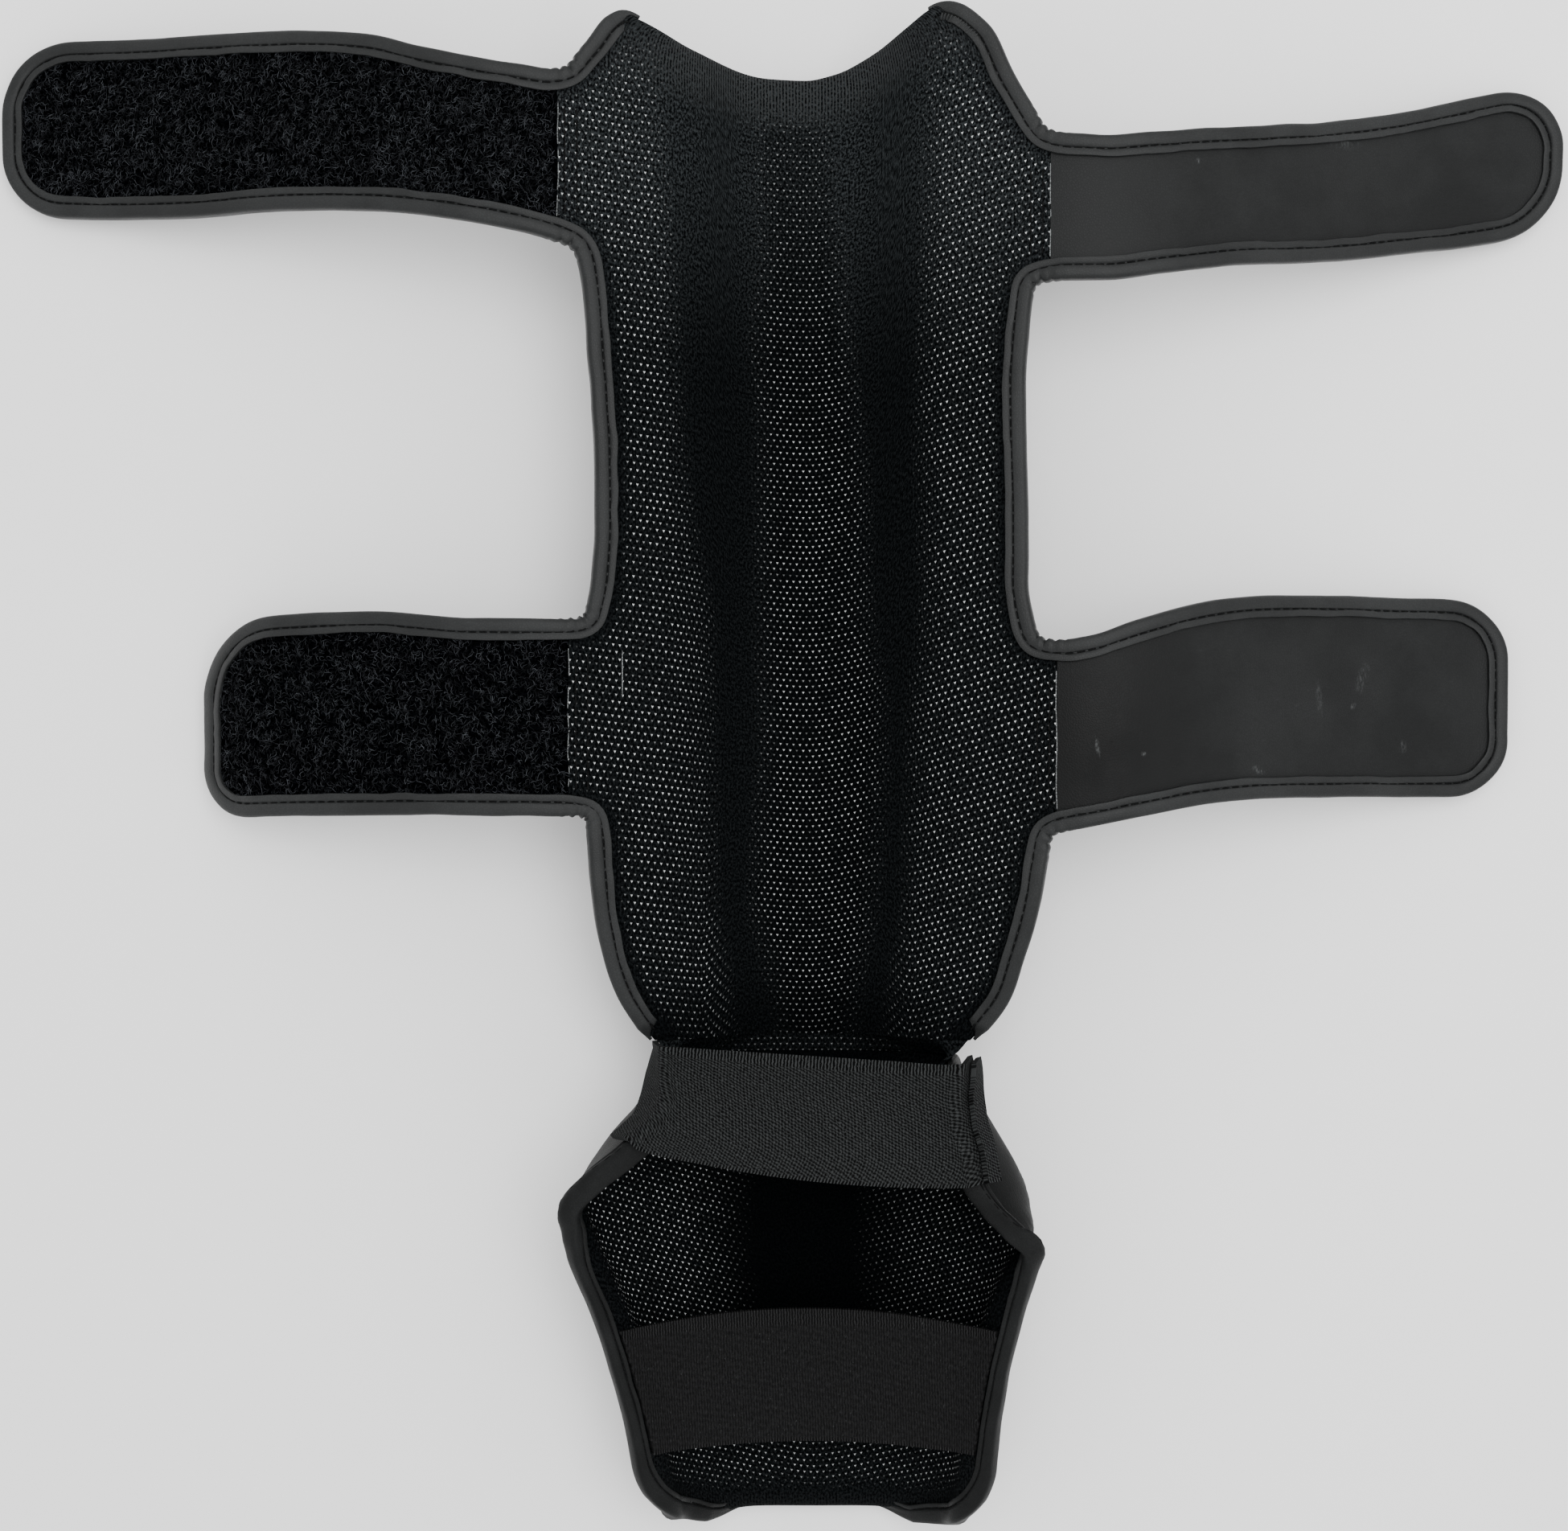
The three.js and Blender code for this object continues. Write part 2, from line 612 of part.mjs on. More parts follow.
const CUP_SHARES = [
  0.012, ...range(6, 0.05, 0.29), 0.325, 0.36, 0.395, 0.44, 0.5, 0.6, 0.72, 0.84, 0.915, 0.952, 0.978,
];
const CUP_LAP = 0.942; // column under the inner edge of the tape's lap
const CUP_EDGE = (1 + CUP_LAP) / 2;
const CUP_BEND = 0.86; // column where the lip bends
const CUP_WALL = 0.78; // column below it on the wall
const CUP_SIDE = [CUP_BEND, CUP_LAP, CUP_EDGE, 1];
const CUP_MIDDLE = range(10, -CUP_WALL, CUP_WALL);
const CUP_COLUMNS = [...CUP_SIDE.map((c) => -c).reverse(), ...CUP_MIDDLE, ...CUP_SIDE];

// Point on the cup's own grid, by share from the ankle to the toe edge and share across.
function cupSpot(share, across) {
  const y = lerp(CUP_START, toeEdge(across * rimAt(TOE.edge)), share);
  return [across * rimAt(y), y];
}

const cupGrid = (point) =>
  grid([0, ...CUP_SHARES, 1], CUP_COLUMNS, (share, across) => point(...cupSpot(share, across)));

const cupLining = () =>
  wall(cupGrid((q, y) => cupLift(q, y, 0)), cupGrid((q, y) => cupLift(q, y, -LINING)));

const cupShell = () => wall(cupGrid((q, y) => cupLift(q, y, -LINING - SEAT)), cupGrid(cupFront));

// Route of the tape along one rim of the cup, from the ankle round the toe corner.
const TOE_TURN = [...CUP_SIDE.toReversed(), CUP_WALL, 0.68];
const cupRoute = (side) => [
  ...CUP_SHARES.map((share) => cupSpot(share, side)),
  ...TOE_TURN.map((across) => cupSpot(1, side * across)),
];

// Band of elastic: one curve of key points for each line across its width, thickened upwards.
function band(lines, steps, thickness) {
  const curves = lines.map((points) => new THREE.CatmullRomCurve3(points));
  const surface = (along, across) => {
    const at = clamp(across, 0, 1) * (curves.length - 1);
    const i = Math.min(Math.floor(at), curves.length - 2);
    const t = clamp(along, 0, 1);
    return curves[i].getPoint(t).lerp(curves[i + 1].getPoint(t), at - i);
  };
  const lift = (along, across, height) => {
    const step = 0.01;
    const alongBand = surface(along + step, across).sub(surface(along - step, across));
    const acrossBand = surface(along, across + step).sub(surface(along, across - step));
    return surface(along, across).addScaledVector(alongBand.cross(acrossBand).normalize(), height);
  };
  const point = (height) => (along, across) => lift(along, across, height);
  const rows = range(steps, 0, 1);
  const columns = range(2, 0, 1);
  return wall(grid(rows, columns, point(thickness)), grid(rows, columns, point(0)));
}

// Point on the cup's outside, at a distance in from one rim, clear of the wall or of the rim's tape.
function outsideCup(side, inward, y, clearance) {
  const q = side * (rimAt(y) - inward);
  const bound = FLANGE + CUP_FOLD.front + TAPE.cloth + ANKLE_WRAP.spare;
  const depth = inward < ANKLE_WRAP.clear ? bound : Math.max(bound, cupThickness(q, y) + SEAT);
  return cupLift(q, y, -depth - clearance);
}

// Ankle band: up the outside of the left wing, across to the right wing, and sewn down on it.
function ankleLine(across) {
  const left = lerp(ANKLE_BAND.leftBottom, ANKLE_BAND.leftTop, across);
  const right = lerp(ANKLE_BAND.rightBottom, ANKLE_BAND.rightTop, across);
  const { high, low, top } = ANKLE_WRAP;
  const end = lerp(low, high, across);
  const over = (side, y) =>
    ANKLE_OVER.map(({ beyond, depth }) => cupLift(side * (rimAt(y) + beyond), y, -depth));
  const leftWrap = range(2, end, top).map((inward) => outsideCup(-1, inward, left, SEAT));
  const last = tabEnd("from", across);
  const rightWrap = range(2, top, last).map((inward) => outsideCup(1, inward, right, 2 * SEAT));
  const from = over(-1, left);
  const to = over(1, right).reverse();
  const bridge = [0.2, 0.4, 0.6, 0.8].map((share) => {
    const point = from.at(-1).clone().lerp(to[0], share);
    point.y -= (1 - across) * ANKLE_BAND.bow * 4 * share * (1 - share);
    return point;
  });
  return [...leftWrap, ...from, ...bridge, ...to, ...rightWrap];
}

const ankleBand = () => band([0, 0.5, 1].map(ankleLine), 30, WEBBING);

// Folded end of the ankle band, sewn down over the band on the right wing.
function ankleTab() {
  const line = (across) => {
    const y = lerp(ANKLE_BAND.rightBottom - 0.5, ANKLE_BAND.rightTop - 1, across);
    const ends = [tabEnd("to", across), tabEnd("from", across)];
    return range(3, ...ends).map((inward) => outsideCup(1, inward, y, WEBBING + 4 * SEAT));
  };
  return band([0, 0.5, 1].map(line), 4, WEBBING);
}

// Foot band: from under one rim's tape across the cup to the other, sagging in between.
function footLine(across) {
  const level = lerp(FOOT_BAND.bottom, FOOT_BAND.top, across);
  const wallPoint = (side, { inward, height }) => cupLift(side * (rimAt(level) - inward), level, height);
  const from = wallPoint(-1, FOOT_BAND.turn);
  const to = wallPoint(1, FOOT_BAND.turn);
  const bridge = [0.25, 0.5, 0.75].map((share) => {
    const point = from.clone().lerp(to, share);
    const bow = 4 * share * (1 - share);
    point.y += lerp(FOOT_BAND.bottomArch, FOOT_BAND.topArch, across) * bow;
    point.z -= FOOT_BAND.sag * bow;
    return point;
  });
  return [wallPoint(-1, FOOT_BAND.end), from, ...bridge, to, wallPoint(1, FOOT_BAND.end)];
}

const footBand = () => band([0, 0.5, 1].map(footLine), 18, WEBBING);

// Assembly

const material = (color, roughness) => new THREE.MeshStandardMaterial({ color, roughness, metalness: 0 });
const leather = material(0x303435, 0.55);
const binding = material(0x3b3f40, 0.5);
const meshCloth = material(0x191d20, 0.7);
const pile = material(0x0c0d10, 0.95);
const elastic = material(0x232627, 0.85);
const hooks = material(0x141516, 0.8);

const guard = new THREE.Group();

function add(name, geometry, finish) {
  const piece = new THREE.Mesh(geometry, finish);
  piece.name = name;
  guard.add(piece);
}

add("shin_shell", shinShell(), leather);
add("shin_lining", shinLining(), meshCloth);
for (const name of ["upper_left", "lower_left"]) {
  add(`strap_${name}`, strapLayer(STRAPS[name], LINING + SEAT, FLANGE), leather);
  add(`loop_pile_${name}`, strapLayer(STRAPS[name], 0, LINING), pile);
}
for (const name of ["upper_right", "lower_right"]) {
  add(`strap_${name}`, strapLayer(STRAPS[name], 0, FLANGE), leather);
  add(`hook_patch_${name}`, hookPatch(STRAPS[name]), hooks);
}
add("shin_binding_left", tape(shinRoute("left"), legLift, -1, SHIN_FOLD), binding);
add("shin_binding_right", tape(shinRoute("right"), legLift, 1, SHIN_FOLD), binding);
add("ankle_gusset", ankleGusset(), leather);
add("instep_shell", cupShell(), leather);
add("instep_lining", cupLining(), meshCloth);
add("instep_binding_left", tape(cupRoute(-1), cupLift, 1, CUP_FOLD), binding);
add("instep_binding_right", tape(cupRoute(1), cupLift, -1, CUP_FOLD), binding);
add("ankle_elastic", ankleBand(), elastic);
add("ankle_elastic_tab", ankleTab(), elastic);
add("foot_elastic", footBand(), elastic);

export default guard;
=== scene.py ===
import bpy
import numpy as np
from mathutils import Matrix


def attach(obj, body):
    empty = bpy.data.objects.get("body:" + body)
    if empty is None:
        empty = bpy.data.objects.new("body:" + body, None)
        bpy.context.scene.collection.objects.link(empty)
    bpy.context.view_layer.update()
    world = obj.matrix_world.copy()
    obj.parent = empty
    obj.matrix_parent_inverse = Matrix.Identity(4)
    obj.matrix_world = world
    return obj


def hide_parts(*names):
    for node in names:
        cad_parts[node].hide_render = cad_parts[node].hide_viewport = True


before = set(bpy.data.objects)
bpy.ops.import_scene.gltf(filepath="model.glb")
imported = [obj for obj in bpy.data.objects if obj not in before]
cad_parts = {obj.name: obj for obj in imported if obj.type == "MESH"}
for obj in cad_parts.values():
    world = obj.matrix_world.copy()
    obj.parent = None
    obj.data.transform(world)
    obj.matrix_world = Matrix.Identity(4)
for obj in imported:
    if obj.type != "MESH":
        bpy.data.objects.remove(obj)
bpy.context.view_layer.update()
scatter = np.random.default_rng(11)

MM = 0.001
STEP = 0.3  # finite step for a surface's normal
STEEPEST = 0.985  # share of a roll's quarter circle that is kept, just short of upright

# Layers of the sewn walls
LINING = 1.2
FLANGE = 4.0
SEAT = 0.4
WEBBING = 1.6


# Named columns from rows of numbers.
def table(names, rows):
    values = np.array(rows, float)
    return {name: values[:, i] for i, name in enumerate(names.split())}


# Shin pad by station along the shin
SHIN = table("y floor wall wing foot crest padding", [
    (-82, 13, 18, 6, 8, 44, 4),
    (-60, 19, 16, 8, 7, 46, 14),
    (-30, 23, 16, 10, 9, 46, 23),
    (20, 24, 18, 9, 12, 44, 24),
    (100, 24, 19, 8, 12, 43, 24),
    (185, 25, 19, 9, 12, 43, 24),
    (224, 27, 18, 10, 11, 44, 10),
])
SHIN_LEFT = table("y half", [
    (-82, 45.4), (-77, 49.3), (-68, 54.6), (-58, 57.9), (-40, 60.9), (-19, 62.4), (-14, 63.4), (-12.4, 69.7),
    (40.4, 69.7), (42, 64), (46, 62.6), (54, 61), (71, 60), (92, 60.2), (118, 61.9), (143, 64), (149, 65.2),
    (153, 67.8), (156, 72.7), (199.6, 72.7), (201.8, 69), (206, 65.8), (210, 62.3), (220, 56),
])
SHIN_RIGHT = table("y half", [
    (-82, 48.8), (-77, 53), (-68, 59), (-58, 62), (-40, 66.5), (-24, 69), (-19, 70.3), (-17, 72.7),
    (33.6, 72.7), (36, 66.8), (41, 64.4), (54, 62.5), (73, 62.6), (92, 62), (111, 61.7), (130, 63), (138, 64),
    (142, 65.4), (144, 70.7), (181.6, 70.7), (184, 68.6), (190, 64.8), (203, 57.6), (212, 53.8), (223, 47.5),
])
KNEE_EDGE = table("across y", [
    (-1, 216), (-0.95, 219.6), (-0.86, 218), (-0.55, 212.9), (-0.25, 209.4), (0, 208.5),
    (0.14, 210), (0.33, 214), (0.6, 219.6), (0.83, 223), (0.93, 220.8), (1, 214.5),
])
WING_END = 68
PAD_SLOPE = {"from": 12, "to": 50, "corner": 32}
KNEE_ROLL = {"radius": 9, "left": 50, "right": 37, "fade": 16}
ANKLE_EDGE = -82

# Rows of the pad's grid at its left and right edges: ends of the free stretches and of the strap seams
SHIN_ROWS = table("left right", [
    (-82, -82), (-75, -75), (-66, -67), (-54, -56), (-38, -42), (-19, -24), (-14, -19), (-12.4, -17),
    (40.4, 33.6), (42, 36), (46, 41), (62, 58), (90, 84), (120, 112), (149, 138), (153, 142), (156, 144),
    (199.6, 181.6), (201.8, 184), (206, 190),
])

# Straps, with their cut edges by distance from the middle
EDGE_NAMES = "x top bottom"
FLAT_TIP = {"tip_height": 6.3, "tip_slope": 0, "curl": 0, "curl_length": 12}
STRAPS = {
    "upper_left": {
        "side": -1, "upper": True, "seam": 73, "tip": 246.6, "round": (16, 21), **FLAT_TIP,
        "edges": table(EDGE_NAMES, [
            (73, 199.8, 155), (91, 202.5, 158.9), (110, 206.5, 162.3), (128, 212.1, 164.8),
            (157, 216.4, 167.3), (188, 219, 168.3), (248, 222.5, 172.5),
        ]),
    },
    "lower_left": {
        "side": -1, "upper": False, "seam": 70, "tip": 183.8, "round": (14, 22), "tip_height": 18.6,
        "tip_slope": -0.3, "curl": 11, "curl_length": 26,
        "edges": table(EDGE_NAMES, [
            (70, 40.8, -12.9), (98, 41.2, -12.7), (114, 42.6, -12.6), (130, 43.9, -12.8),
            (154, 43.6, -13.3), (185, 41.5, -14.4),
        ]),
    },
    "upper_right": {
        "side": 1, "upper": True, "seam": 71, "tip": 232.2, "round": (18, 20), **FLAT_TIP,
        "edges": table(EDGE_NAMES, [
            (71, 182.2, 143.4), (85, 181.2, 143.3), (103, 182.8, 145.6), (122, 185.3, 148.7),
            (152, 189.9, 152.3), (182, 196.9, 157.6), (203, 202.8, 161.4), (233, 211, 167.6),
        ]),
    },
    "lower_right": {
        "side": 1, "upper": False, "seam": 73, "tip": 215.2, "round": (16, 17), **FLAT_TIP,
        "edges": table(EDGE_NAMES, [
            (73, 34.1, -17.6), (83, 36.1, -15.9), (99, 41.3, -12.7), (116, 45.9, -9.7),
            (134, 48.5, -8.1), (161, 49.4, -7.8), (217, 49.4, -7.8),
        ]),
    },
}
BETWEEN_STRAPS = 96
SEAM_BEND = 0.9
HOOK = {"from": 0.42, "to": 0.92, "inset": 8.5, "height": 1.6, "rows": 40, "columns": 15}
FILLET = 2

# Instep cup by station: shift of its middle, floor, points up its side, and the right rim
CUP = table("y shift floor flat wall_x wall_z lip_x lip_z rim_x rim_z right_x", [
    (-230, 2.8, 10.5, 23, 37.5, 23, 41.3, 34, 47.8, 40, 47.8),
    (-200, 1.9, 10.5, 23, 42, 25, 44.6, 37, 51.8, 42, 51.8),
    (-181, 1, 10, 23, 46, 26, 48, 39.5, 55.6, 44, 55.6),
    (-162, 0.3, 9.5, 23, 50.5, 27, 53.2, 41, 60.6, 46, 60.6),
    (-143, -1.3, 9.5, 23, 57, 29, 59.5, 43, 65.6, 49.5, 65.6),
    (-137, -2, 9.7, 22.5, 58.3, 29.5, 61, 43, 65.5, 50.3, 60.5),
    (-131, -2.7, 10, 22, 59.5, 30, 62.5, 43, 65.2, 51, 55.4),
    (-124, -2.4, 10.5, 22, 57, 30, 60, 42.5, 59.5, 51.5, 50.1),
    (-115, -1.3, 11, 22, 51.5, 28.5, 54, 41, 49.5, 51, 45.5),
    (-106, 0.5, 12, 21, 45.5, 27, 47, 39, 41, 49.5, 40),
    (-96, 1, 13, 20, 41.5, 25.5, 42.5, 36.5, 38, 46.5, 38),
    (-86, 1.4, 13, 19, 38, 23.5, 39.5, 32.5, 38, 41.5, 38),
])
FLAT_SHARE = 0.1
CUP_START = -87.4
TOE = {"edge": -229, "corner": 18, "radius": 5.5, "whole": 18, "none": 40}
TOE_EARS = {"left": 6.2, "right": 4.2, "from": 27, "to": 50}
CUP_PADDING = {"depth": 7, "from": 12, "to": 32, "ankle_length": 25, "ankle_share": 0.3, "toe_share": 0.4}

# Elastic bands
ANKLE_BAND = {"left": (-114, -82.6), "right": (-123, -88.5), "bow": 3.4}
ANKLE_WRAP = {"high": 13, "low": 7, "top": 2.5, "clear": 8.5, "bound": 5.85}
ANKLE_OVER = ((2.6, 6), (4, 3.4))
TAB = {"to": (-2, 2.5), "from": (4, 9.5)}
FOOT_BAND = {"top": -166.6, "bottom": -203.8, "top_arch": 4.2, "bottom_arch": 1.5, "sag": 6}
FOOT_END = (3.4, 0.5)
FOOT_TURN = (10, 3)

# Where the lining's holes show: outside left and right, and between the two middle limits; between these, on
# the trough's walls, they are hidden under painted shade
HOLES = table("y left start stop right", [
    (-82, -24, -6, 12, 26), (-60, -27, -10, 15, 29), (-42, -30, -14, 18, 32), (14, -31, -11, 21, 33.5),
    (42, -31.5, -12, 17, 36.5), (70, -36, -12, 16, 36.5), (99, -40, -12, 14.5, 35.5), (127, -41, -14, 11, 36),
    (155, -42.5, -12, 9, 36.5), (183, -45, -14, 6, 37.5), (224, -46, -16, 8, 38),
])


# Curves through points

def hermite(t, start, start_slope, end, end_slope):
    back = 1 - t
    value = start * (1 + 2 * t) * back * back + start_slope * t * back * back
    return value + end * t * t * (3 - 2 * t) - end_slope * t * t * back


# Value of a table's column on a smooth curve through its rows that never overshoots them.
def read(rows, key, name, at):
    xs, ys = rows[key], rows[name]
    secant = np.diff(ys) / np.diff(xs)
    agree = secant[:-1] * secant[1:]
    total = np.where(agree > 0, secant[:-1] + secant[1:], 1)
    inner = np.where(agree > 0, 2 * agree / total, 0)
    slope = np.concatenate([secant[:1], inner, secant[-1:]])
    at = np.asarray(at, float)
    i = np.clip(np.searchsorted(xs, at) - 1, 0, len(xs) - 2)
    span = xs[i + 1] - xs[i]
    t = np.clip((at - xs[i]) / span, 0, 1)
    return hermite(t, ys[i], slope[i] * span, ys[i + 1], slope[i + 1] * span)


def smoothstep(value, low, high):
    t = np.clip((value - low) / (high - low), 0, 1)
    return t * t * (3 - 2 * t)


def lerp(start, end, share):
    return start + (end - start) * share


def unit(vectors):
    return vectors / np.maximum(np.linalg.norm(vectors, axis=-1, keepdims=True), 1e-9)


# Points on a centripetal curve through a row of key points.
def spline(keys, count):
    keys = np.asarray(keys, float)
    keys = np.concatenate([2 * keys[:1] - keys[1:2], keys, 2 * keys[-1:] - keys[-2:-1]])
    segments = len(keys) - 3
    at = np.linspace(0, segments, count)
    i = np.clip(at.astype(int), 0, segments - 1)
    t = (at - i)[:, None]
    p = [keys[i + k] for k in range(4)]
    d = [np.maximum(np.sqrt(np.linalg.norm(p[k + 1] - p[k], axis=1)), 1e-4)[:, None] for k in range(3)]
    start = (p[1] - p[0]) / d[0] - (p[2] - p[0]) / (d[0] + d[1]) + (p[2] - p[1]) / d[1]
    end = (p[2] - p[1]) / d[1] - (p[3] - p[1]) / (d[1] + d[2]) + (p[3] - p[2]) / d[2]
    return hermite(t, p[1], start * d[1], p[2], end * d[1])


# Route at even steps with its corners rounded.
def smooth_route(points, step, spread):
    points = np.asarray(points, float)
    length = np.concatenate([[0], np.cumsum(np.hypot(*np.diff(points, axis=0).T))])
    keep = np.concatenate([[True], np.diff(length) > 1e-6])
    at = np.linspace(0, length[-1], int(length[-1] / step) + 1)
    even = np.stack([np.interp(at, length[keep], points[keep, k]) for k in (0, 1)], -1)
    reach = int(3 * spread / step)
    weights = np.exp(-0.5 * (np.arange(-reach, reach + 1) * step / spread) ** 2)
    weights /= weights.sum()
    before = 2 * even[0] - even[reach:0:-1]
    after = 2 * even[-1] - even[-2:-reach - 2:-1]
    longer = np.concatenate([before, even, after])
    return np.stack([np.convolve(longer[:, k], weights, "valid") for k in (0, 1)], -1)


# Smooth uneven values along a length, about one swing for each pitch.
def wander(length, pitch, size):
    count = int(length.max() / pitch) + 3
    knots = scatter.uniform(-1, 1, count)
    at = length / pitch
    i = np.clip(at.astype(int), 0, count - 2)
    return size * lerp(knots[i], knots[i + 1], smoothstep(at - i, 0, 1))


# Fall of a rolled edge's or a rounded corner's quarter circle at a distance past its start.
def roll_drop(radius, past):
    reach = np.clip(past, 0, radius * STEEPEST)
    return radius - np.sqrt(radius * radius - reach * reach)


# Points at a height off a surface, along its normal.
def lift(surface, p, q, height):
    p, q, height = np.broadcast_arrays(*(np.asarray(v, float) for v in (p, q, height)))
    along_p = surface(p + STEP, q) - surface(p - STEP, q)
    along_q = surface(p, q + STEP) - surface(p, q - STEP)
    return surface(p, q) + unit(np.cross(along_p, along_q)) * height[..., None]


# Shin pad and straps

def half_width(side, y):
    return np.where(np.asarray(side) < 0, read(SHIN_LEFT, "y", "half", y), read(SHIN_RIGHT, "y", "half", y))


def knee_edge(across):
    return read(KNEE_EDGE, "across", "y", across)


# Distance along the shin from a place to the knee edge.
def to_knee(x, y):
    return knee_edge(np.clip(x / half_width(x, y), -1, 1)) - y


def roll_share(x):
    end = np.where(x < 0, KNEE_ROLL["left"], KNEE_ROLL["right"])
    return 1 - smoothstep(np.abs(x), end - KNEE_ROLL["fade"], end)


def pad_height(x, y):
    out = np.abs(x)
    foot = read(SHIN, "y", "foot", y)
    wall = read(SHIN, "y", "wall", y) * smoothstep(out, foot, read(SHIN, "y", "crest", y))
    wing = read(SHIN, "y", "wing", y) * np.maximum(0, (out - foot) / (WING_END - foot)) ** 1.5
    past = KNEE_ROLL["radius"] - to_knee(x, y)
    return read(SHIN, "y", "floor", y) + wall + wing - roll_share(x) * roll_drop(KNEE_ROLL["radius"], past)


def strap_height(strap, x, y):
    reach = strap["tip"] - strap["seam"]
    along = np.abs(x) - strap["seam"]
    level = np.clip(y, strap["edges"]["bottom"][0], strap["edges"]["top"][0])
    wing = pad_height(strap["side"] * strap["seam"], level)
    slope = SEAM_BEND * (wing - pad_height(strap["side"] * (strap["seam"] - 1), level))
    t = np.minimum(along / reach, 1)
    fallen = hermite(t, wing, slope * reach, strap["tip_height"], strap["tip_slope"] * reach)
    past = np.maximum(0, along - reach)
    curled = np.maximum(0, along - reach + strap["curl_length"]) / strap["curl_length"]
    return fallen + past * strap["tip_slope"] - strap["curl"] * curled * curled


def leg_side(x, y):
    z = pad_height(x, y)
    for strap in STRAPS.values():
        here = (x * strap["side"] > strap["seam"]) & ((y > BETWEEN_STRAPS) == strap["upper"])
        z = np.where(here, strap_height(strap, x, y), z)
    return np.stack([x, y, z], -1)


def padding(x, y):
    corner = smoothstep(to_knee(x, y), PAD_SLOPE["from"], PAD_SLOPE["corner"])
    corner = lerp(corner, 1, roll_share(x))
    inward = smoothstep(half_width(x, y) - np.abs(x), PAD_SLOPE["from"], PAD_SLOPE["to"])
    return read(SHIN, "y", "padding", y) * inward * corner


def strap_edges(strap, out):
    bottom, top = (roll_drop(radius, out - (strap["tip"] - radius)) for radius in strap["round"])
    edges = strap["edges"]
    return read(edges, "x", "bottom", out) + bottom, read(edges, "x", "top", out) - top


# Instep cup, by distance along its section from the middle and by station

RIGHT_LIP = table("y out", [
    (-230, 0), (-162, 0), (-150, 1.8), (-143, 4.6), (-137, 5.4), (-131, 1.4), (-120, 0), (-84, 0),
])
CUP_LEVELS = np.linspace(-232, -84, 297)
CUP_SAMPLES = 241
CUP_LAST = 1.001  # from the end of a row of samples to a place just before its last one


# Cup's sections at many stations, each with points at even distances from its left rim to its right rim.
def cup_sections():
    column = {name: read(CUP, "y", name, CUP_LEVELS) for name in CUP}
    flat_z = lerp(column["floor"], column["wall_z"], FLAT_SHARE)
    side = [
        (column["rim_x"], column["rim_z"]), (column["lip_x"], column["lip_z"]),
        (column["wall_x"], column["wall_z"]), (column["flat"], flat_z),
    ]
    middle = (np.zeros_like(flat_z), column["floor"])
    right_rim = (column["right_x"], column["rim_z"])
    right_lip = (column["lip_x"] + read(RIGHT_LIP, "y", "out", CUP_LEVELS), column["lip_z"])
    keys = [(-x, z) for x, z in side] + [middle] + side[:1:-1] + [right_lip, right_rim]
    keys = np.array([[x + column["shift"], z] for x, z in keys])
    keys = np.concatenate([keys[:1], keys, keys[-1:]])
    at = np.linspace(0, len(keys) - 3, CUP_SAMPLES)
    i = np.clip(at.astype(int), 0, len(keys) - 4)
    t = (at - i)[:, None, None]
    start_slope = (keys[i + 2] - keys[i]) / 2
    end_slope = (keys[i + 3] - keys[i + 1]) / 2
    curve = hermite(t, keys[i + 1], start_slope, keys[i + 2], end_slope)
    length = np.concatenate([
        np.zeros((1, len(CUP_LEVELS))),
        np.cumsum(np.linalg.norm(np.diff(curve, axis=0), axis=1), axis=0),
    ])
    even = np.empty((len(CUP_LEVELS), CUP_SAMPLES, 2))
    for row in range(len(CUP_LEVELS)):
        spread = np.linspace(0, length[-1, row], CUP_SAMPLES)
        for k in (0, 1):
            even[row, :, k] = np.interp(spread, length[:, row], curve[:, k, row])
    return even, length[-1] / 2


CUP_CURVES, CUP_HALVES = cup_sections()


def rim_at(y):
    return np.interp(y, CUP_LEVELS, CUP_HALVES)


def toe_edge(q):
    back = np.where(q < 0, TOE_EARS["left"], TOE_EARS["right"])
    ear = back * smoothstep(np.abs(q), TOE_EARS["from"], TOE_EARS["to"])
    return TOE["edge"] + ear + roll_drop(TOE["corner"], np.abs(q) - (rim_at(TOE["edge"]) - TOE["corner"]))


def toe_roll(q):
    return 1 - smoothstep(np.abs(q), TOE["whole"], TOE["none"])


def cup_side(q, y):
    half = rim_at(y)
    along = np.clip((q + half) / (2 * half), 0, 1)
    row = np.clip((y - CUP_LEVELS[0]) / (CUP_LEVELS[1] - CUP_LEVELS[0]), 0, len(CUP_LEVELS) - CUP_LAST)
    at = np.clip(along * (CUP_SAMPLES - 1), 0, CUP_SAMPLES - CUP_LAST)
    r, c = row.astype(int), at.astype(int)
    fr, fc = (row - r)[..., None], (at - c)[..., None]

    def across(rows):
        return lerp(CUP_CURVES[rows, c], CUP_CURVES[rows, c + 1], fc)

    point = lerp(across(r), across(r + 1), fr)
    past = (q - (along * 2 - 1) * half)[..., None]
    tangent = unit(CUP_CURVES[r, c + 1] - CUP_CURVES[r, c])
    point = point + tangent * past
    fall = toe_roll(q) * roll_drop(TOE["radius"], toe_edge(q) + TOE["radius"] - y)
    return np.stack([point[..., 0], y, point[..., 1] - fall], -1)


def cup_thickness(q, y):
    pad = CUP_PADDING
    ankle = lerp(pad["ankle_share"], 1, smoothstep(CUP_START - y, 0, pad["ankle_length"]))
    rim = smoothstep(rim_at(y) - np.abs(q), pad["from"], pad["to"])
    toe = lerp(pad["toe_share"] * toe_roll(q), 1, smoothstep(y - toe_edge(q), pad["from"], pad["to"]))
    return FLANGE + pad["depth"] * rim * ankle * toe


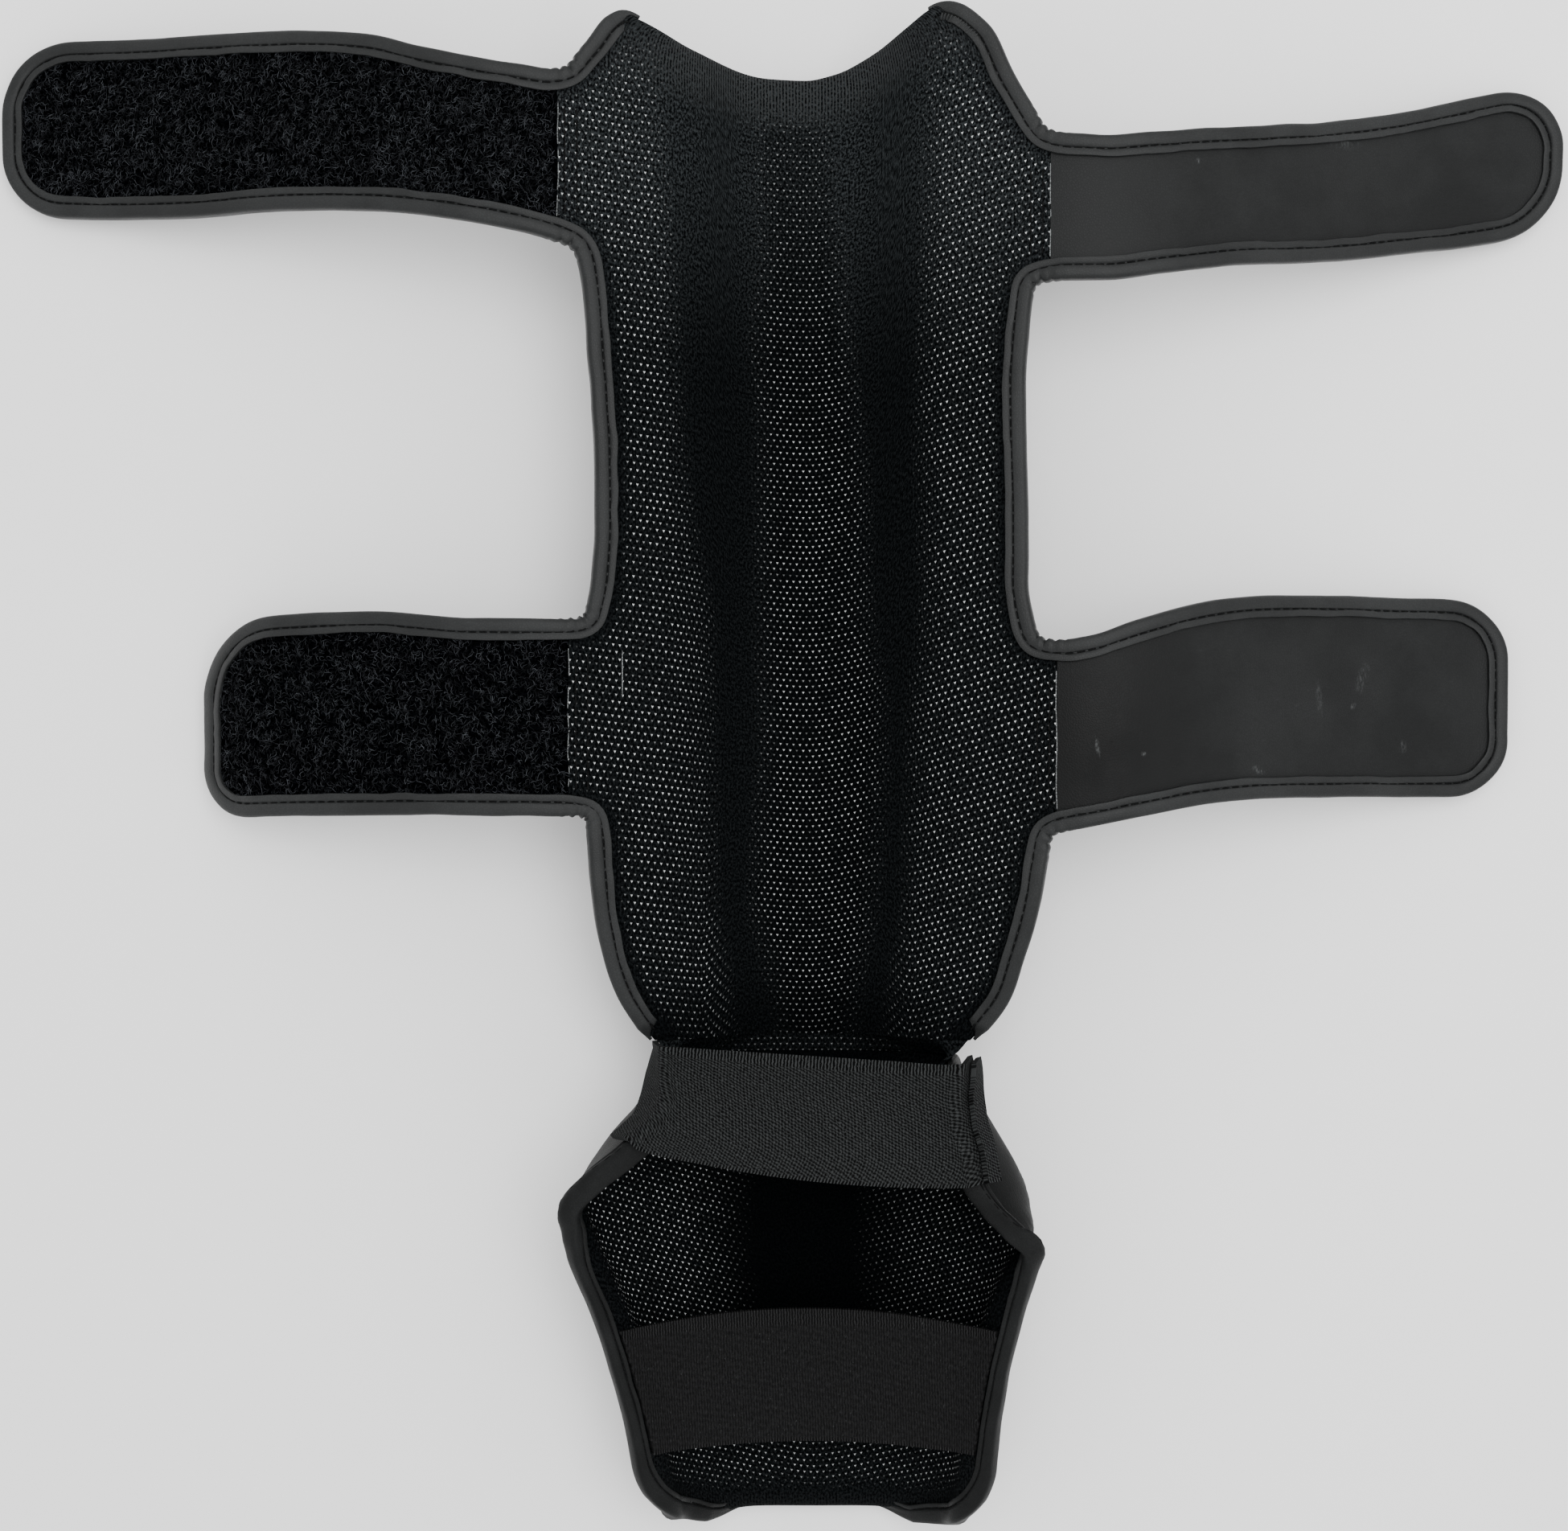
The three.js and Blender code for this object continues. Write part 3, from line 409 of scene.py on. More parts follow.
# Point on the cup's outside, at a distance in from one rim, clear of the wall or of the rim's tape.
def outside_cup(side, inward, y, clearance):
    q = side * (rim_at(y) - inward)
    bound = ANKLE_WRAP["bound"]
    depth = np.where(inward < ANKLE_WRAP["clear"], bound, np.maximum(bound, cup_thickness(q, y) + SEAT))
    return lift(cup_side, q, y, -depth - clearance)


# Meshes

scene = bpy.context.scene
SHARP = np.radians(50)


# Object from points in millimetres and lists of faces, turned so that its faces look outwards.
def build(name, points, faces, look, uv=None, marks=None):
    points = points.reshape(-1, 3)
    volume = 0
    for group in faces:
        first = points[group[:, 0]]
        for k in range(1, group.shape[1] - 1):
            volume += np.einsum("ij,ij->", first, np.cross(points[group[:, k]], points[group[:, k + 1]]))
    turn = 1 if volume > 0 else -1
    corners = [face for group in faces for face in group[:, ::turn].tolist()]
    mesh = bpy.data.meshes.new(name)
    mesh.from_pydata((points * MM).tolist(), [], corners)
    if uv is not None:
        at = np.empty(len(mesh.loops), int)
        mesh.loops.foreach_get("vertex_index", at)
        layer = mesh.uv_layers.new(name="cloth")
        layer.data.foreach_set("uv", uv.reshape(-1, 2)[at].astype(np.float32).ravel())
    for mark, values in (marks or {}).items():
        layer = mesh.attributes.new(mark, "FLOAT", "POINT")
        layer.data.foreach_set("value", np.asarray(values, np.float32).ravel())
    mesh.polygons.foreach_set("use_smooth", np.ones(len(mesh.polygons), bool))
    mesh.set_sharp_from_angle(angle=SHARP)
    mesh.materials.append(look)
    piece = bpy.data.objects.new(name, mesh)
    scene.collection.objects.link(piece)
    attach(piece, "root")
    return piece


# Faces of a wall between two grids of points with the same rows and columns.
def slab_faces(rows, columns):
    upper = np.arange(rows * columns).reshape(rows, columns)
    lower = upper + rows * columns
    top = np.stack([upper[:-1, :-1], upper[:-1, 1:], upper[1:, 1:], upper[1:, :-1]], -1).reshape(-1, 4)
    bottom = np.stack([lower[:-1, :-1], lower[1:, :-1], lower[1:, 1:], lower[:-1, 1:]], -1).reshape(-1, 4)
    rim = np.concatenate([upper[0], upper[1:, -1], upper[-1, -2::-1], upper[-2:0:-1, 0]])
    ahead = np.roll(rim, -1)
    drop = rows * columns
    return [top, bottom, np.stack([ahead, rim, rim + drop, ahead + drop], -1)]


def slab(name, upper, lower, look, uv=None, marks=None):
    rows, columns = upper.shape[:2]
    both = None if uv is None else np.stack([uv, uv])
    doubled = {key: np.stack([value, value]) for key, value in (marks or {}).items()}
    return build(name, np.stack([upper, lower]), slab_faces(rows, columns), look, both, doubled)


# Faces of a closed tube through rings of points.
def tube_faces(rings, sides):
    ring = np.arange(rings * sides).reshape(rings, sides)
    ahead = np.roll(ring, -1, axis=1)
    walls = np.stack([ring[:-1], ahead[:-1], ahead[1:], ring[1:]], -1).reshape(-1, 4)
    return [walls, np.stack([ring[0, ::-1], ring[-1]])]


# The same faces for several copies of one shape.
def repeat_faces(faces, count, size):
    shift = (np.arange(count) * size)[:, None, None]
    return [(group[None] + shift).reshape(-1, group.shape[1]) for group in faces]


# Distance along each row of a grid from its middle column, and along each column from its first row.
def cloth_lengths(grid):
    across = np.linalg.norm(np.diff(grid, axis=1), axis=2)
    u = np.concatenate([np.zeros((len(grid), 1)), np.cumsum(across, axis=1)], axis=1)
    u = u - u[:, u.shape[1] // 2][:, None]
    along = np.linalg.norm(np.diff(grid, axis=0), axis=2)
    v = np.concatenate([np.zeros((1, grid.shape[1])), np.cumsum(along, axis=0)], axis=0)
    return u, v


# Padding

SWELL = {"frames": 20, "pressure": 4.0, "limit": 5.0, "start": 0.88}
START = SWELL["start"]


# Front of a padded shell, blown up against its sewn back and edges, and flat where it rests.
def swell(piece, rows, columns):
    grid = np.arange(rows * columns).reshape(rows, columns)
    front = (grid + rows * columns)[1:-1, 1:-1].ravel()
    count = 2 * rows * columns
    sewn = piece.vertex_groups.new(name="sewn")
    sewn.add(np.setdiff1d(np.arange(count), front).tolist(), 1.0, "REPLACE")
    cloth = piece.modifiers.new("swell", "CLOTH")
    cloth.settings.vertex_group_mass = "sewn"
    cloth.settings.use_pressure = True
    cloth.settings.uniform_pressure_force = SWELL["pressure"]
    cloth.settings.effector_weights.gravity = 0
    cloth.point_cache.frame_end = SWELL["frames"]
    before = np.empty(count * 3, np.float32)
    after = np.empty(count * 3, np.float32)
    piece.data.vertices.foreach_get("co", before)
    for step in range(1, SWELL["frames"] + 1):
        scene.frame_set(step)
    blown = piece.evaluated_get(bpy.context.evaluated_depsgraph_get())
    blown.data.vertices.foreach_get("co", after)
    piece.modifiers.remove(cloth)
    piece.vertex_groups.remove(sewn)
    scene.frame_set(1)
    before = before.reshape(-1, 3)
    moved = after.reshape(-1, 3) - before
    far = np.maximum(np.linalg.norm(moved, axis=1, keepdims=True), 1e-9)
    limit = SWELL["limit"] * MM
    points = before + moved / far * limit * np.tanh(far / limit)
    points[:, 2] = np.maximum(points[:, 2], 0)
    piece.data.vertices.foreach_set("co", points.astype(np.float32).ravel())
    piece.data.update()
    smooth = piece.modifiers.new("smooth", "SUBSURF")
    smooth.levels = 1
    smooth.render_levels = 1


# Padded shell between its sewn back and its front, which is flat where it rests.
def pad(name, node, back, front, look, fill):
    front[..., 2] = np.maximum(0, front[..., 2])
    piece = slab(name, back, front, look)
    swell(piece, *front.shape[:2])
    stand_in(node)


# Every other row or column of a grid, with its last one.
def coarse(count):
    return np.unique(np.append(np.arange(0, count, 2), count - 1))


# Hide a solid of the part, where a finished piece takes its place.
def stand_in(node):
    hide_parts(node)


# Materials

class Look:
    def __init__(self, name, **values):
        self.material = bpy.data.materials.new(name)
        self.material.use_nodes = True
        self.tree = self.material.node_tree
        self.shader = self.tree.nodes["Principled BSDF"]
        for key, value in values.items():
            self.shader.inputs[key.replace("_", " ")].default_value = value
        self.place = self.node("TexCoord")["Object"]

    def feed(self, socket, value):
        if isinstance(value, bpy.types.NodeSocket):
            self.tree.links.new(value, socket)
        else:
            socket.default_value = value

    def node(self, kind, settings=None, **inputs):
        node = self.tree.nodes.new("ShaderNode" + kind)
        for key, value in (settings or {}).items():
            setattr(node, key, value)
        for key, value in inputs.items():
            self.feed(node.inputs[key.replace("_", " ")], value)
        return node.outputs

    def math(self, operation, *values):
        node = self.tree.nodes.new("ShaderNodeMath")
        node.operation = operation
        for socket, value in zip(node.inputs, values):
            self.feed(socket, value)
        return node.outputs[0]

    def times(self, first, second):
        return self.math("MULTIPLY", first, second)

    def plus(self, first, second):
        return self.math("ADD", first, second)

    def minus(self, first, second):
        return self.math("SUBTRACT", first, second)

    def ramp(self, value, low, high, start=0.0, end=1.0):
        settings = {"interpolation_type": "SMOOTHSTEP"}
        limits = {"From_Min": low, "From_Max": high, "To_Min": start, "To_Max": end}
        return self.node("MapRange", settings, Value=value, **limits)["Result"]

    def mix(self, factor, first, second):
        node = self.tree.nodes.new("ShaderNodeMix")
        node.data_type = "RGBA"
        for socket, value in zip((node.inputs[0], node.inputs[6], node.inputs[7]), (factor, first, second)):
            self.feed(socket, value)
        return node.outputs[2]

    def stretch(self, vector, scale):
        return self.node("Mapping", Vector=vector, Scale=scale)["Vector"]

    def noise(self, vector, scale, detail=2.0, roughness=0.5):
        return self.node("TexNoise", Vector=vector, Scale=scale, Detail=detail, Roughness=roughness)["Fac"]

    def attribute(self, name):
        return self.node("Attribute", {"attribute_name": name})["Fac"]

    def cloth(self):
        split = self.node("SeparateXYZ", Vector=self.node("TexCoord")["UV"])
        return split["X"], split["Y"]

    def finish(self, colour, height, strength, distance, roughness=None):
        self.feed(self.shader.inputs["Base Color"], colour)
        bump = self.node("Bump", Height=height, Strength=strength, Distance=distance)
        self.feed(self.shader.inputs["Normal"], bump["Normal"])
        if roughness is not None:
            self.feed(self.shader.inputs["Roughness"], roughness)
        return self.material


def grey(value, tint=(0.95, 1.0, 1.01)):
    return (value * tint[0], value * tint[1], value * tint[2], 1)


# Scuffs on the right straps: place, size along and across, lean in degrees, and strength
SCUFFS = table("x y long wide lean strength", [
    (154.2, 19.9, 13, 2.6, 6, 0.5), (168.9, 26.5, 13, 4.6, -20, 0.5), (165.9, 18, 3, 2, -40, 0.8),
    (182.7, 5.8, 5, 3.4, 10, 0.6), (134, -1.4, 2.6, 5, -25, 1.1), (84.3, 5.7, 8, 1.8, 12, 0.8),
    (161.2, 187, 5, 15, 4, 0.4), (114.2, 176.6, 2.4, 1.6, 0, 0.7), (98, 3.4, 1.6, 2.2, 0, 1),
])
# Painted shade on the lower right strap's end, where it bends down from the pad
PAINTED_SHADE_END = {"x": 78, "y": 8, "long": 130, "wide": 110, "lean": 0, "strength": 1.2}


# Soft spot on the surface, strongest in its middle.
def soft_spot(look, at):
    place = (at["x"] * MM, at["y"] * MM, 0)
    size = (at["wide"] * MM / 2, at["long"] * MM / 2, 1)
    turn = (0, 0, np.radians(at["lean"]))
    where = {"Location": place, "Rotation": turn, "Scale": size}
    near = look.node("Mapping", {"vector_type": "TEXTURE"}, Vector=look.place, **where)["Vector"]
    blob = look.node("TexGradient", {"gradient_type": "SPHERICAL"}, Vector=near)["Fac"]
    return look.times(blob, at["strength"])


# Scale of each part of the coated cloth's grain, per metre, and its tones as shares of the cloth's own
GRAIN = {"patches": 34, "streaks": (210, 900, 300), "flecks": (1500, 420, 400), "pores": 1300, "fine": 3200}
TONE = {"dim": 0.3, "scuff": 6, "rubbed": 2.1, "pore": 0.5, "pore_share": 0.3}
GLOSS = (0.42, 0.66)  # roughness of smooth and of rubbed cloth


# Painted shade over the lower right strap's end, then the scuffs on the right straps.
def scuffs_and_painted_shade(look, colour, dark, light):
    colour = look.mix(soft_spot(look, PAINTED_SHADE_END), colour, grey(dark * TONE["dim"]))
    total = 0.0
    for row in zip(*SCUFFS.values()):
        total = look.plus(total, soft_spot(look, dict(zip(SCUFFS, map(float, row)))))
    flecks = look.ramp(look.noise(look.stretch(look.place, GRAIN["flecks"]), 1, 3, 0.7), 0.42, 0.66)
    return look.mix(look.times(total, flecks), colour, grey(light * TONE["scuff"]))


# Smooth coated cloth with a fine grain, soft patches and light streaks; on the straps also scuffs and a patch
# of painted shade.
def leather(name, dark, light, specular, wear, straps=False):
    look = Look(name, Specular_IOR_Level=specular)
    patches = look.noise(look.place, GRAIN["patches"], 4, 0.6)
    colour = look.mix(look.ramp(patches, 0.32, 0.7), grey(dark), grey(light))
    streaks = look.noise(look.stretch(look.place, GRAIN["streaks"]), 1, 3, 0.65)
    rubbed = look.times(look.ramp(streaks, 0.62, 0.76), look.ramp(patches, 0.45, 0.65))
    rubbed = look.times(rubbed, wear)
    colour = look.mix(rubbed, colour, grey(light * TONE["rubbed"]))
    if straps:
        colour = scuffs_and_painted_shade(look, colour, dark, light)
    cells = look.node("TexVoronoi", {"feature": "DISTANCE_TO_EDGE"}, Vector=look.place, Scale=GRAIN["pores"])
    pores = look.ramp(cells["Distance"], 0.0, 0.25)
    colour = look.mix(look.ramp(pores, 0.0, 1.0, TONE["pore_share"], 0.0), colour, grey(dark * TONE["pore"]))
    fine = look.noise(look.place, GRAIN["fine"], 2)
    height = look.plus(look.times(pores, 0.6), look.times(fine, 0.4))
    roughness = look.ramp(look.plus(patches, rubbed), 0.3, 0.9, *GLOSS)
    return look.finish(colour, height, 0.4, 0.00012, roughness)


# One hole in its cell: its tail, shoulder and top along it, its widths there, and the notch between its arms
HOLE = {
    "tail": -0.32, "shoulder": 0.18, "top": 0.14, "narrow": 0.015, "wide": 0.195, "notch": 0.35, "soft": 0.07,
}
# Strands in one cell across and along it, and tones of the knit, its ribs, its shadow and the foam
KNIT = {
    "across": 3.1, "along": 2.0, "dark": 0.0012, "light": 0.026, "ribs": 0.029, "shadow": 0.0006,
    "foam": 0.68,
}


# Knitted mesh: rows of small v-shaped holes that show the light foam, in a fine dark knit that painted shade
# darkens where its shade mark is low.
def mesh_lining():
    look = Look("mesh_lining", Roughness=0.75, Specular_IOR_Level=0.012)
    u, v = look.cloth()
    line = look.math("FLOOR", v)
    part = look.minus(look.math("FRACT", v), 0.5)
    shifted = look.plus(u, look.times(look.math("PINGPONG", line, 1.0), 0.5))
    across = look.math("ABSOLUTE", look.minus(look.math("FRACT", shifted), 0.5))
    cell = look.node("CombineXYZ", X=look.math("FLOOR", shifted), Y=line)["Vector"]
    chance = look.node("TexWhiteNoise", {"noise_dimensions": "2D"}, Vector=cell)["Value"]
    width = look.ramp(part, HOLE["tail"], HOLE["shoulder"], HOLE["narrow"], HOLE["wide"])
    inside = look.ramp(look.minus(width, across), 0.0, HOLE["soft"])
    notch = look.math("MULTIPLY_ADD", across, HOLE["notch"], HOLE["top"])
    hole = look.times(inside, look.ramp(look.minus(notch, part), 0.0, HOLE["soft"]))
    shown = look.times(hole, look.attribute("holes"))
    shown = look.times(shown, look.ramp(chance, 0.0, 0.9, 0.16, 1.0))
    shown = look.times(shown, look.ramp(part, HOLE["tail"], 0.05, 0.3, 1.0))
    place = look.node("CombineXYZ", X=u, Y=v)["Vector"]
    strands = look.noise(look.stretch(place, (KNIT["across"], KNIT["along"], 1)), 1.0, 3, 0.62)
    dark = grey(KNIT["dark"], (0.8, 1, 1.15))
    knit = look.mix(look.ramp(strands, 0.4, 0.66), dark, grey(KNIT["light"], (0.88, 1, 1.06)))
    ribs = look.ramp(look.math("SINE", look.times(u, 4 * np.pi)), -0.2, 0.9)
    ribs = look.times(ribs, look.attribute("ribs"))
    knit = look.mix(ribs, knit, grey(KNIT["ribs"]))
    # Painted shade: where the shade mark is low, the knit darkens to the painted shadow tone.
    knit = look.mix(look.attribute("shade"), grey(KNIT["shadow"], (0.6, 1, 1.3)), knit)
    colour = look.mix(shown, knit, grey(KNIT["foam"], (0.97, 1, 1)))
    height = look.plus(look.minus(strands, look.times(hole, 0.8)), ribs)
    return look.finish(colour, height, 0.5, 0.0003)


LOOPED_EDGE = (1.5, 0.6)  # start and end, in from the elastic's side, of its border of loops


# Woven elastic: short uneven dashes in slanting rows, broken into columns, with looped edges.
def elastic(name, dark, light, weave):
    look = Look(name, Roughness=0.85, Specular_IOR_Level=0.06)
    u, v = look.cloth()
    place = look.node("CombineXYZ", X=u, Y=v)["Vector"]
    wobble = look.noise(place, 0.8, 2, 0.6)
    fine = look.minus(look.noise(look.stretch(place, weave["grain"]), 1, 3, 0.65), 0.5)
    rows = look.math("MULTIPLY_ADD", u, weave["slope"], look.times(v, weave["rows"]))
    rows = look.math("MULTIPLY_ADD", wobble, weave["wobble"], rows)
    dashes = look.math("SINE", look.times(rows, 2 * np.pi))
    lines = look.math("MULTIPLY_ADD", wobble, 0.9, look.times(u, weave["columns"]))
    columns = look.math("SINE", look.times(lines, 2 * np.pi))
    raised = look.times(fine, weave["uneven"])
    raised = look.math("MULTIPLY_ADD", columns, weave["column_share"], raised)
    raised = look.math("MULTIPLY_ADD", dashes, weave["dash_share"], raised)
    half = weave["width"] / 2
    edge = look.math("ABSOLUTE", look.minus(v, half))
    border = look.ramp(edge, *(half - inward for inward in LOOPED_EDGE))
    thread = look.ramp(raised, -0.75, 0.95)
    kept = look.times(thread, look.minus(1.0, border))
    thread = look.math("MULTIPLY_ADD", look.ramp(columns, -0.3, 0.6), border, kept)
    specks = look.ramp(look.noise(look.stretch(place, (1.5, 0.7, 1)), 1, 2, 0.6), 0.66, 0.73)
    colour = look.mix(thread, grey(dark, weave["tint"]), grey(light, weave["tint"]))
    colour = look.mix(look.times(specks, weave["specks"]), colour, grey(light * 3))
    return look.finish(colour, thread, 0.7, 0.0004)


def pile_base():
    look = Look("loop_pile", Roughness=1.0, Specular_IOR_Level=0.0)
    tufts = look.noise(look.place, 900, 4, 0.7)
    colour = look.mix(look.ramp(tufts, 0.4, 0.72), grey(0.0003, (0.9, 1, 1.4)), grey(0.0022, (0.9, 1, 1.3)))
    return look.finish(colour, tufts, 0.8, 0.0006)


def pile_fibres():
    look = Look("pile_fibres", Roughness=0.7, Specular_IOR_Level=0.04)
    clumps = look.noise(look.place, 300, 3, 0.6)
    tone = look.times(look.attribute("tone"), look.ramp(clumps, 0.3, 0.65, 0.35, 1.0))
    colour = look.mix(tone, grey(0.0007, (0.9, 1, 1.3)), grey(0.07, (0.93, 1, 1.12)))
    return look.finish(colour, clumps, 0.2, 0.0001)


def thread_look(name, dark, light):
    look = Look(name, Roughness=0.7, Specular_IOR_Level=0.08)
    ply = look.noise(look.place, 2600, 2)
    colour = look.mix(look.ramp(ply, 0.35, 0.7), grey(dark), grey(light))
    return look.finish(colour, ply, 0.4, 0.0001)


def hook_look():
    look = Look("hooks", Roughness=0.7, Specular_IOR_Level=0.15)
    cells = look.node("TexVoronoi", Vector=look.place, Scale=700)["Distance"]
    colour = look.mix(look.ramp(cells, 0.1, 0.5), grey(0.012), grey(0.003))
    return look.finish(colour, look.minus(1.0, cells), 0.8, 0.0008)


def floor_look():
    look = Look("pale_floor", Roughness=0.85, Specular_IOR_Level=0.1)
    specks = look.noise(look.place, 60, 3)
    colour = look.mix(specks, (0.94, 0.94, 0.94, 1), (0.96, 0.96, 0.96, 1))
    return look.finish(colour, specks, 0.02, 0.0002)


LEATHER = leather("leather_cloth", 0.0092, 0.0142, 0.1, 0.5)
STRAP_LEATHER = leather("strap_leather", 0.0094, 0.0146, 0.1, 0.5, True)
# Darker copy of the coated cloth for the instep cup's shell: painted shade
PAINTED_SHADE_INSTEP_LEATHER = leather("instep_leather_painted_shade", 0.0055, 0.009, 0.04, 0.3)
BINDING = leather("binding", 0.014, 0.022, 0.14, 0.25)
RIM_BINDING = leather("rim_binding", 0.007, 0.012, 0.06, 0.4)
MESH = mesh_lining()
ANKLE_WEAVE = elastic("ankle_elastic", 0.0004, 0.029, {
    "width": 34, "slope": 0.5, "rows": 1.02, "wobble": 1.3, "columns": 1.03, "grain": (2.2, 1.3, 1),
    "dash_share": 0.5, "column_share": 0.36, "uneven": 2.0, "specks": 0.3, "tint": (0.94, 1.0, 1.01),
})
FOOT_WEAVE = elastic("foot_elastic", 0.0022, 0.0138, {
    "width": 37, "slope": 0.1, "rows": 0.5, "wobble": 2.2, "columns": 1.2, "grain": (2.6, 0.6, 1),
    "dash_share": 0.12, "column_share": 0.3, "uneven": 2.4, "specks": 0.5, "tint": (1.0, 1.0, 1.03),
})
PILE = pile_base()
FIBRES = pile_fibres()
THREAD = thread_look("thread", 0.0008, 0.005)
CUT_EDGE = thread_look("cut_edge", 0.06, 0.22)
HOOKS = hook_look()


# Folded tape along the cut edges

TAPE_STEP = 1.0
TAPE_ROUND = 1.9
TAPE_LEG = ((-4.4, 0.25), (-4.55, 0.85), (-4.42, 1.25), (-4.0, 1.34), (-3.0, 1.2), (-2.55, 1.05))
TAPE_GROOVE = ((-2.4, 0.7), (-2.1, 0.7))
TAPE_BAND = ((-1.95, 1.12), (-1.6, 1.36), (-0.6, 1.44), (0.6, 1.4), (1.35, 1.2), (1.8, 0.6), (1.95, -0.4))
TAPE_EDGE = ((1.95, -1.6), (1.9, -2.8), (1.6, -4.0), (1.0, -4.95), (0.2, -5.45), (-0.6, -5.6), (-1.4, -5.3))
TAPE_FRONT = (
    (-1.8, -4.8), (-2.3, -4.8), (-2.7, -5.2), (-3.4, -5.45), (-4.2, -5.3), (-4.45, -4.9), (-4.4, -4.4),
)
TAPE_INSIDE = ((0.9, -4.4), (0.95, 0.3))
TAPE_PROFILE = np.array(TAPE_LEG + TAPE_GROOVE + TAPE_BAND + TAPE_EDGE + TAPE_FRONT + TAPE_INSIDE)
LIP_POINTS = slice(0, len(TAPE_LEG))
BAND_POINTS = slice(len(TAPE_LEG) + len(TAPE_GROOVE), len(TAPE_PROFILE) - len(TAPE_FRONT) - len(TAPE_INSIDE))
GROOVE = {"far": -2.25, "leg": 0.85, "front": -4.95}
STITCH = {"pitch": 3.1, "length": 2.4, "radius": 0.24}
TUCK = {"first": 5.0, "depth": 1.6, "drawn": 0.8}
SHIN_END = {"length": 10.0, "inner": 0.35, "outer": 1.2, "drop": 1.6}
CUP_END = {"length": 16.0, "inner": -1.4, "outer": -0.5, "drop": 3.0}
PLEAT = {"pitch": 3.0, "reach": 5.0, "depth": 1.1, "sink": 0.6, "inward": 4.0, "past": 2.0}
# Unevenness of the tape: a swing's length and size for each way that its lip and its band wander
UNEVEN = {
    "lip_far": ((7, 0.22), (2.3, 0.07)), "lip_height": ((5, 0.16), (1.9, 0.06)),
    "band_height": ((6, 0.14),), "band_far": ((9, 0.16),),
}


# Sizes of the pleats along a route that are gathered at some of its corners.
def pleats(route, corners):
    length = np.arange(len(route)) * TAPE_STEP
    total = np.zeros(len(route))
    for corner in corners:
        away = length - length[np.argmin(np.hypot(*(route - corner).T))]
        wave = 0.5 + 0.5 * np.cos(2 * np.pi * away / PLEAT["pitch"] + corner[0])
        total += np.exp(-((away / PLEAT["reach"]) ** 2)) * wave
    return total * PLEAT["depth"]


def outward(route, turn):
    along = unit(np.gradient(route, axis=0))
    return np.stack([along[:, 1], -along[:, 0]], -1) * turn


# How far the tape's ends are drawn in under the edge, from 0 along the tape to 1 at its two ends.
def tucked(length, end):
    first = 1 - length / TUCK["first"]
    last = 1 - (length[-1] - length) / end["length"]
    return np.clip(np.maximum(first, last), 0, 1)[:, None]


# Tape swept along a route on a surface, with its groove, its rolled band and its uneven lip.
def tape(name, route, surface, turn, corners, end, lip=1.0, flare=0.0, look=BINDING):
    out = outward(route, turn)
    length = np.arange(len(route)) * TAPE_STEP
    far = np.tile(TAPE_PROFILE[:, 0], (len(route), 1))
    height = np.tile(TAPE_PROFILE[:, 1], (len(route), 1))
    uneven = {way: sum(wander(length, *swing) for swing in swings)[:, None] for way, swings in UNEVEN.items()}
    far[:, LIP_POINTS] += uneven["lip_far"]
    height[:, LIP_POINTS] += uneven["lip_height"]
    height[:, BAND_POINTS] += uneven["band_height"]
    far[:, BAND_POINTS] += uneven["band_far"]
    far = np.where(far < 0, far * lip, far * (1 + np.broadcast_to(flare, length.shape)[:, None]))
    fold = pleats(route, corners)[:, None]
    far[:, BAND_POINTS] -= fold
    height[:, BAND_POINTS] -= fold * PLEAT["sink"]
    tuck = tucked(length, end)
    innermost = TAPE_PROFILE[:, 0].min() - 1
    far = np.maximum(far, lerp(innermost, end["inner"], smoothstep(tuck, 0, TUCK["drawn"])))
    far = np.where(far > end["outer"], lerp(far, end["outer"], tuck), far)
    height = np.where(height > -FLANGE / 2, height - tuck * end["drop"], height + tuck * TUCK["depth"])
    p = route[:, :1] + out[:, :1] * far
    q = route[:, 1:] + out[:, 1:] * far
    points = lift(surface, p, q, height)
    around = np.concatenate([[0], np.cumsum(np.hypot(*np.diff(TAPE_PROFILE, axis=0).T))])
    uv = np.stack(np.meshgrid(length, around, indexing="ij"), -1)
    return build(name, points, tube_faces(*far.shape), look, uv)


# Stitch shape: rings along it, as shares of its half length and of its radius
STITCH_RINGS = table("along round", [(-1, 0.35), (-0.86, 0.8), (-0.4, 1), (0.4, 1), (0.86, 0.8), (1, 0.35)])
STITCH_SIDES = 6


# Short capsules that lie along some points' directions.
def capsules(centres, along, up, length, radius):
    side = unit(np.cross(along, up))
    up = np.cross(side, along)
    angle = np.arange(STITCH_SIDES) * 2 * np.pi / STITCH_SIDES
    around = side[:, None] * np.cos(angle)[:, None] + up[:, None] * np.sin(angle)[:, None]
    reach = STITCH_RINGS["along"][:, None] * length / 2
    thick = STITCH_RINGS["round"] * radius
    spine = centres[:, None] + along[:, None] * reach
    return spine[:, :, None] + around[:, None] * thick[:, None, None]


# Capsules along a route or across it, at a distance out from it and a height off the surface.
def capsule_row(route, surface, turn, every, far, height, size, across=False):
    out = outward(route, turn)
    at_step = np.arange(len(route)) * TAPE_STEP

    def spot(at, aside, level):
        place = [np.interp(at, at_step, route[:, k] + out[:, k] * aside) for k in (0, 1)]
        return lift(surface, *place, level)

    centres = spot(every, far, height)
    up = unit(spot(every, far, height + 1) - centres)
    if across:
        along = unit(spot(every, far + 1, height) - spot(every, far - 1, height))
    else:
        along = unit(spot(every + 1, far, height) - spot(every - 1, far, height))
    return capsules(centres, along, up, size["length"], size["radius"])


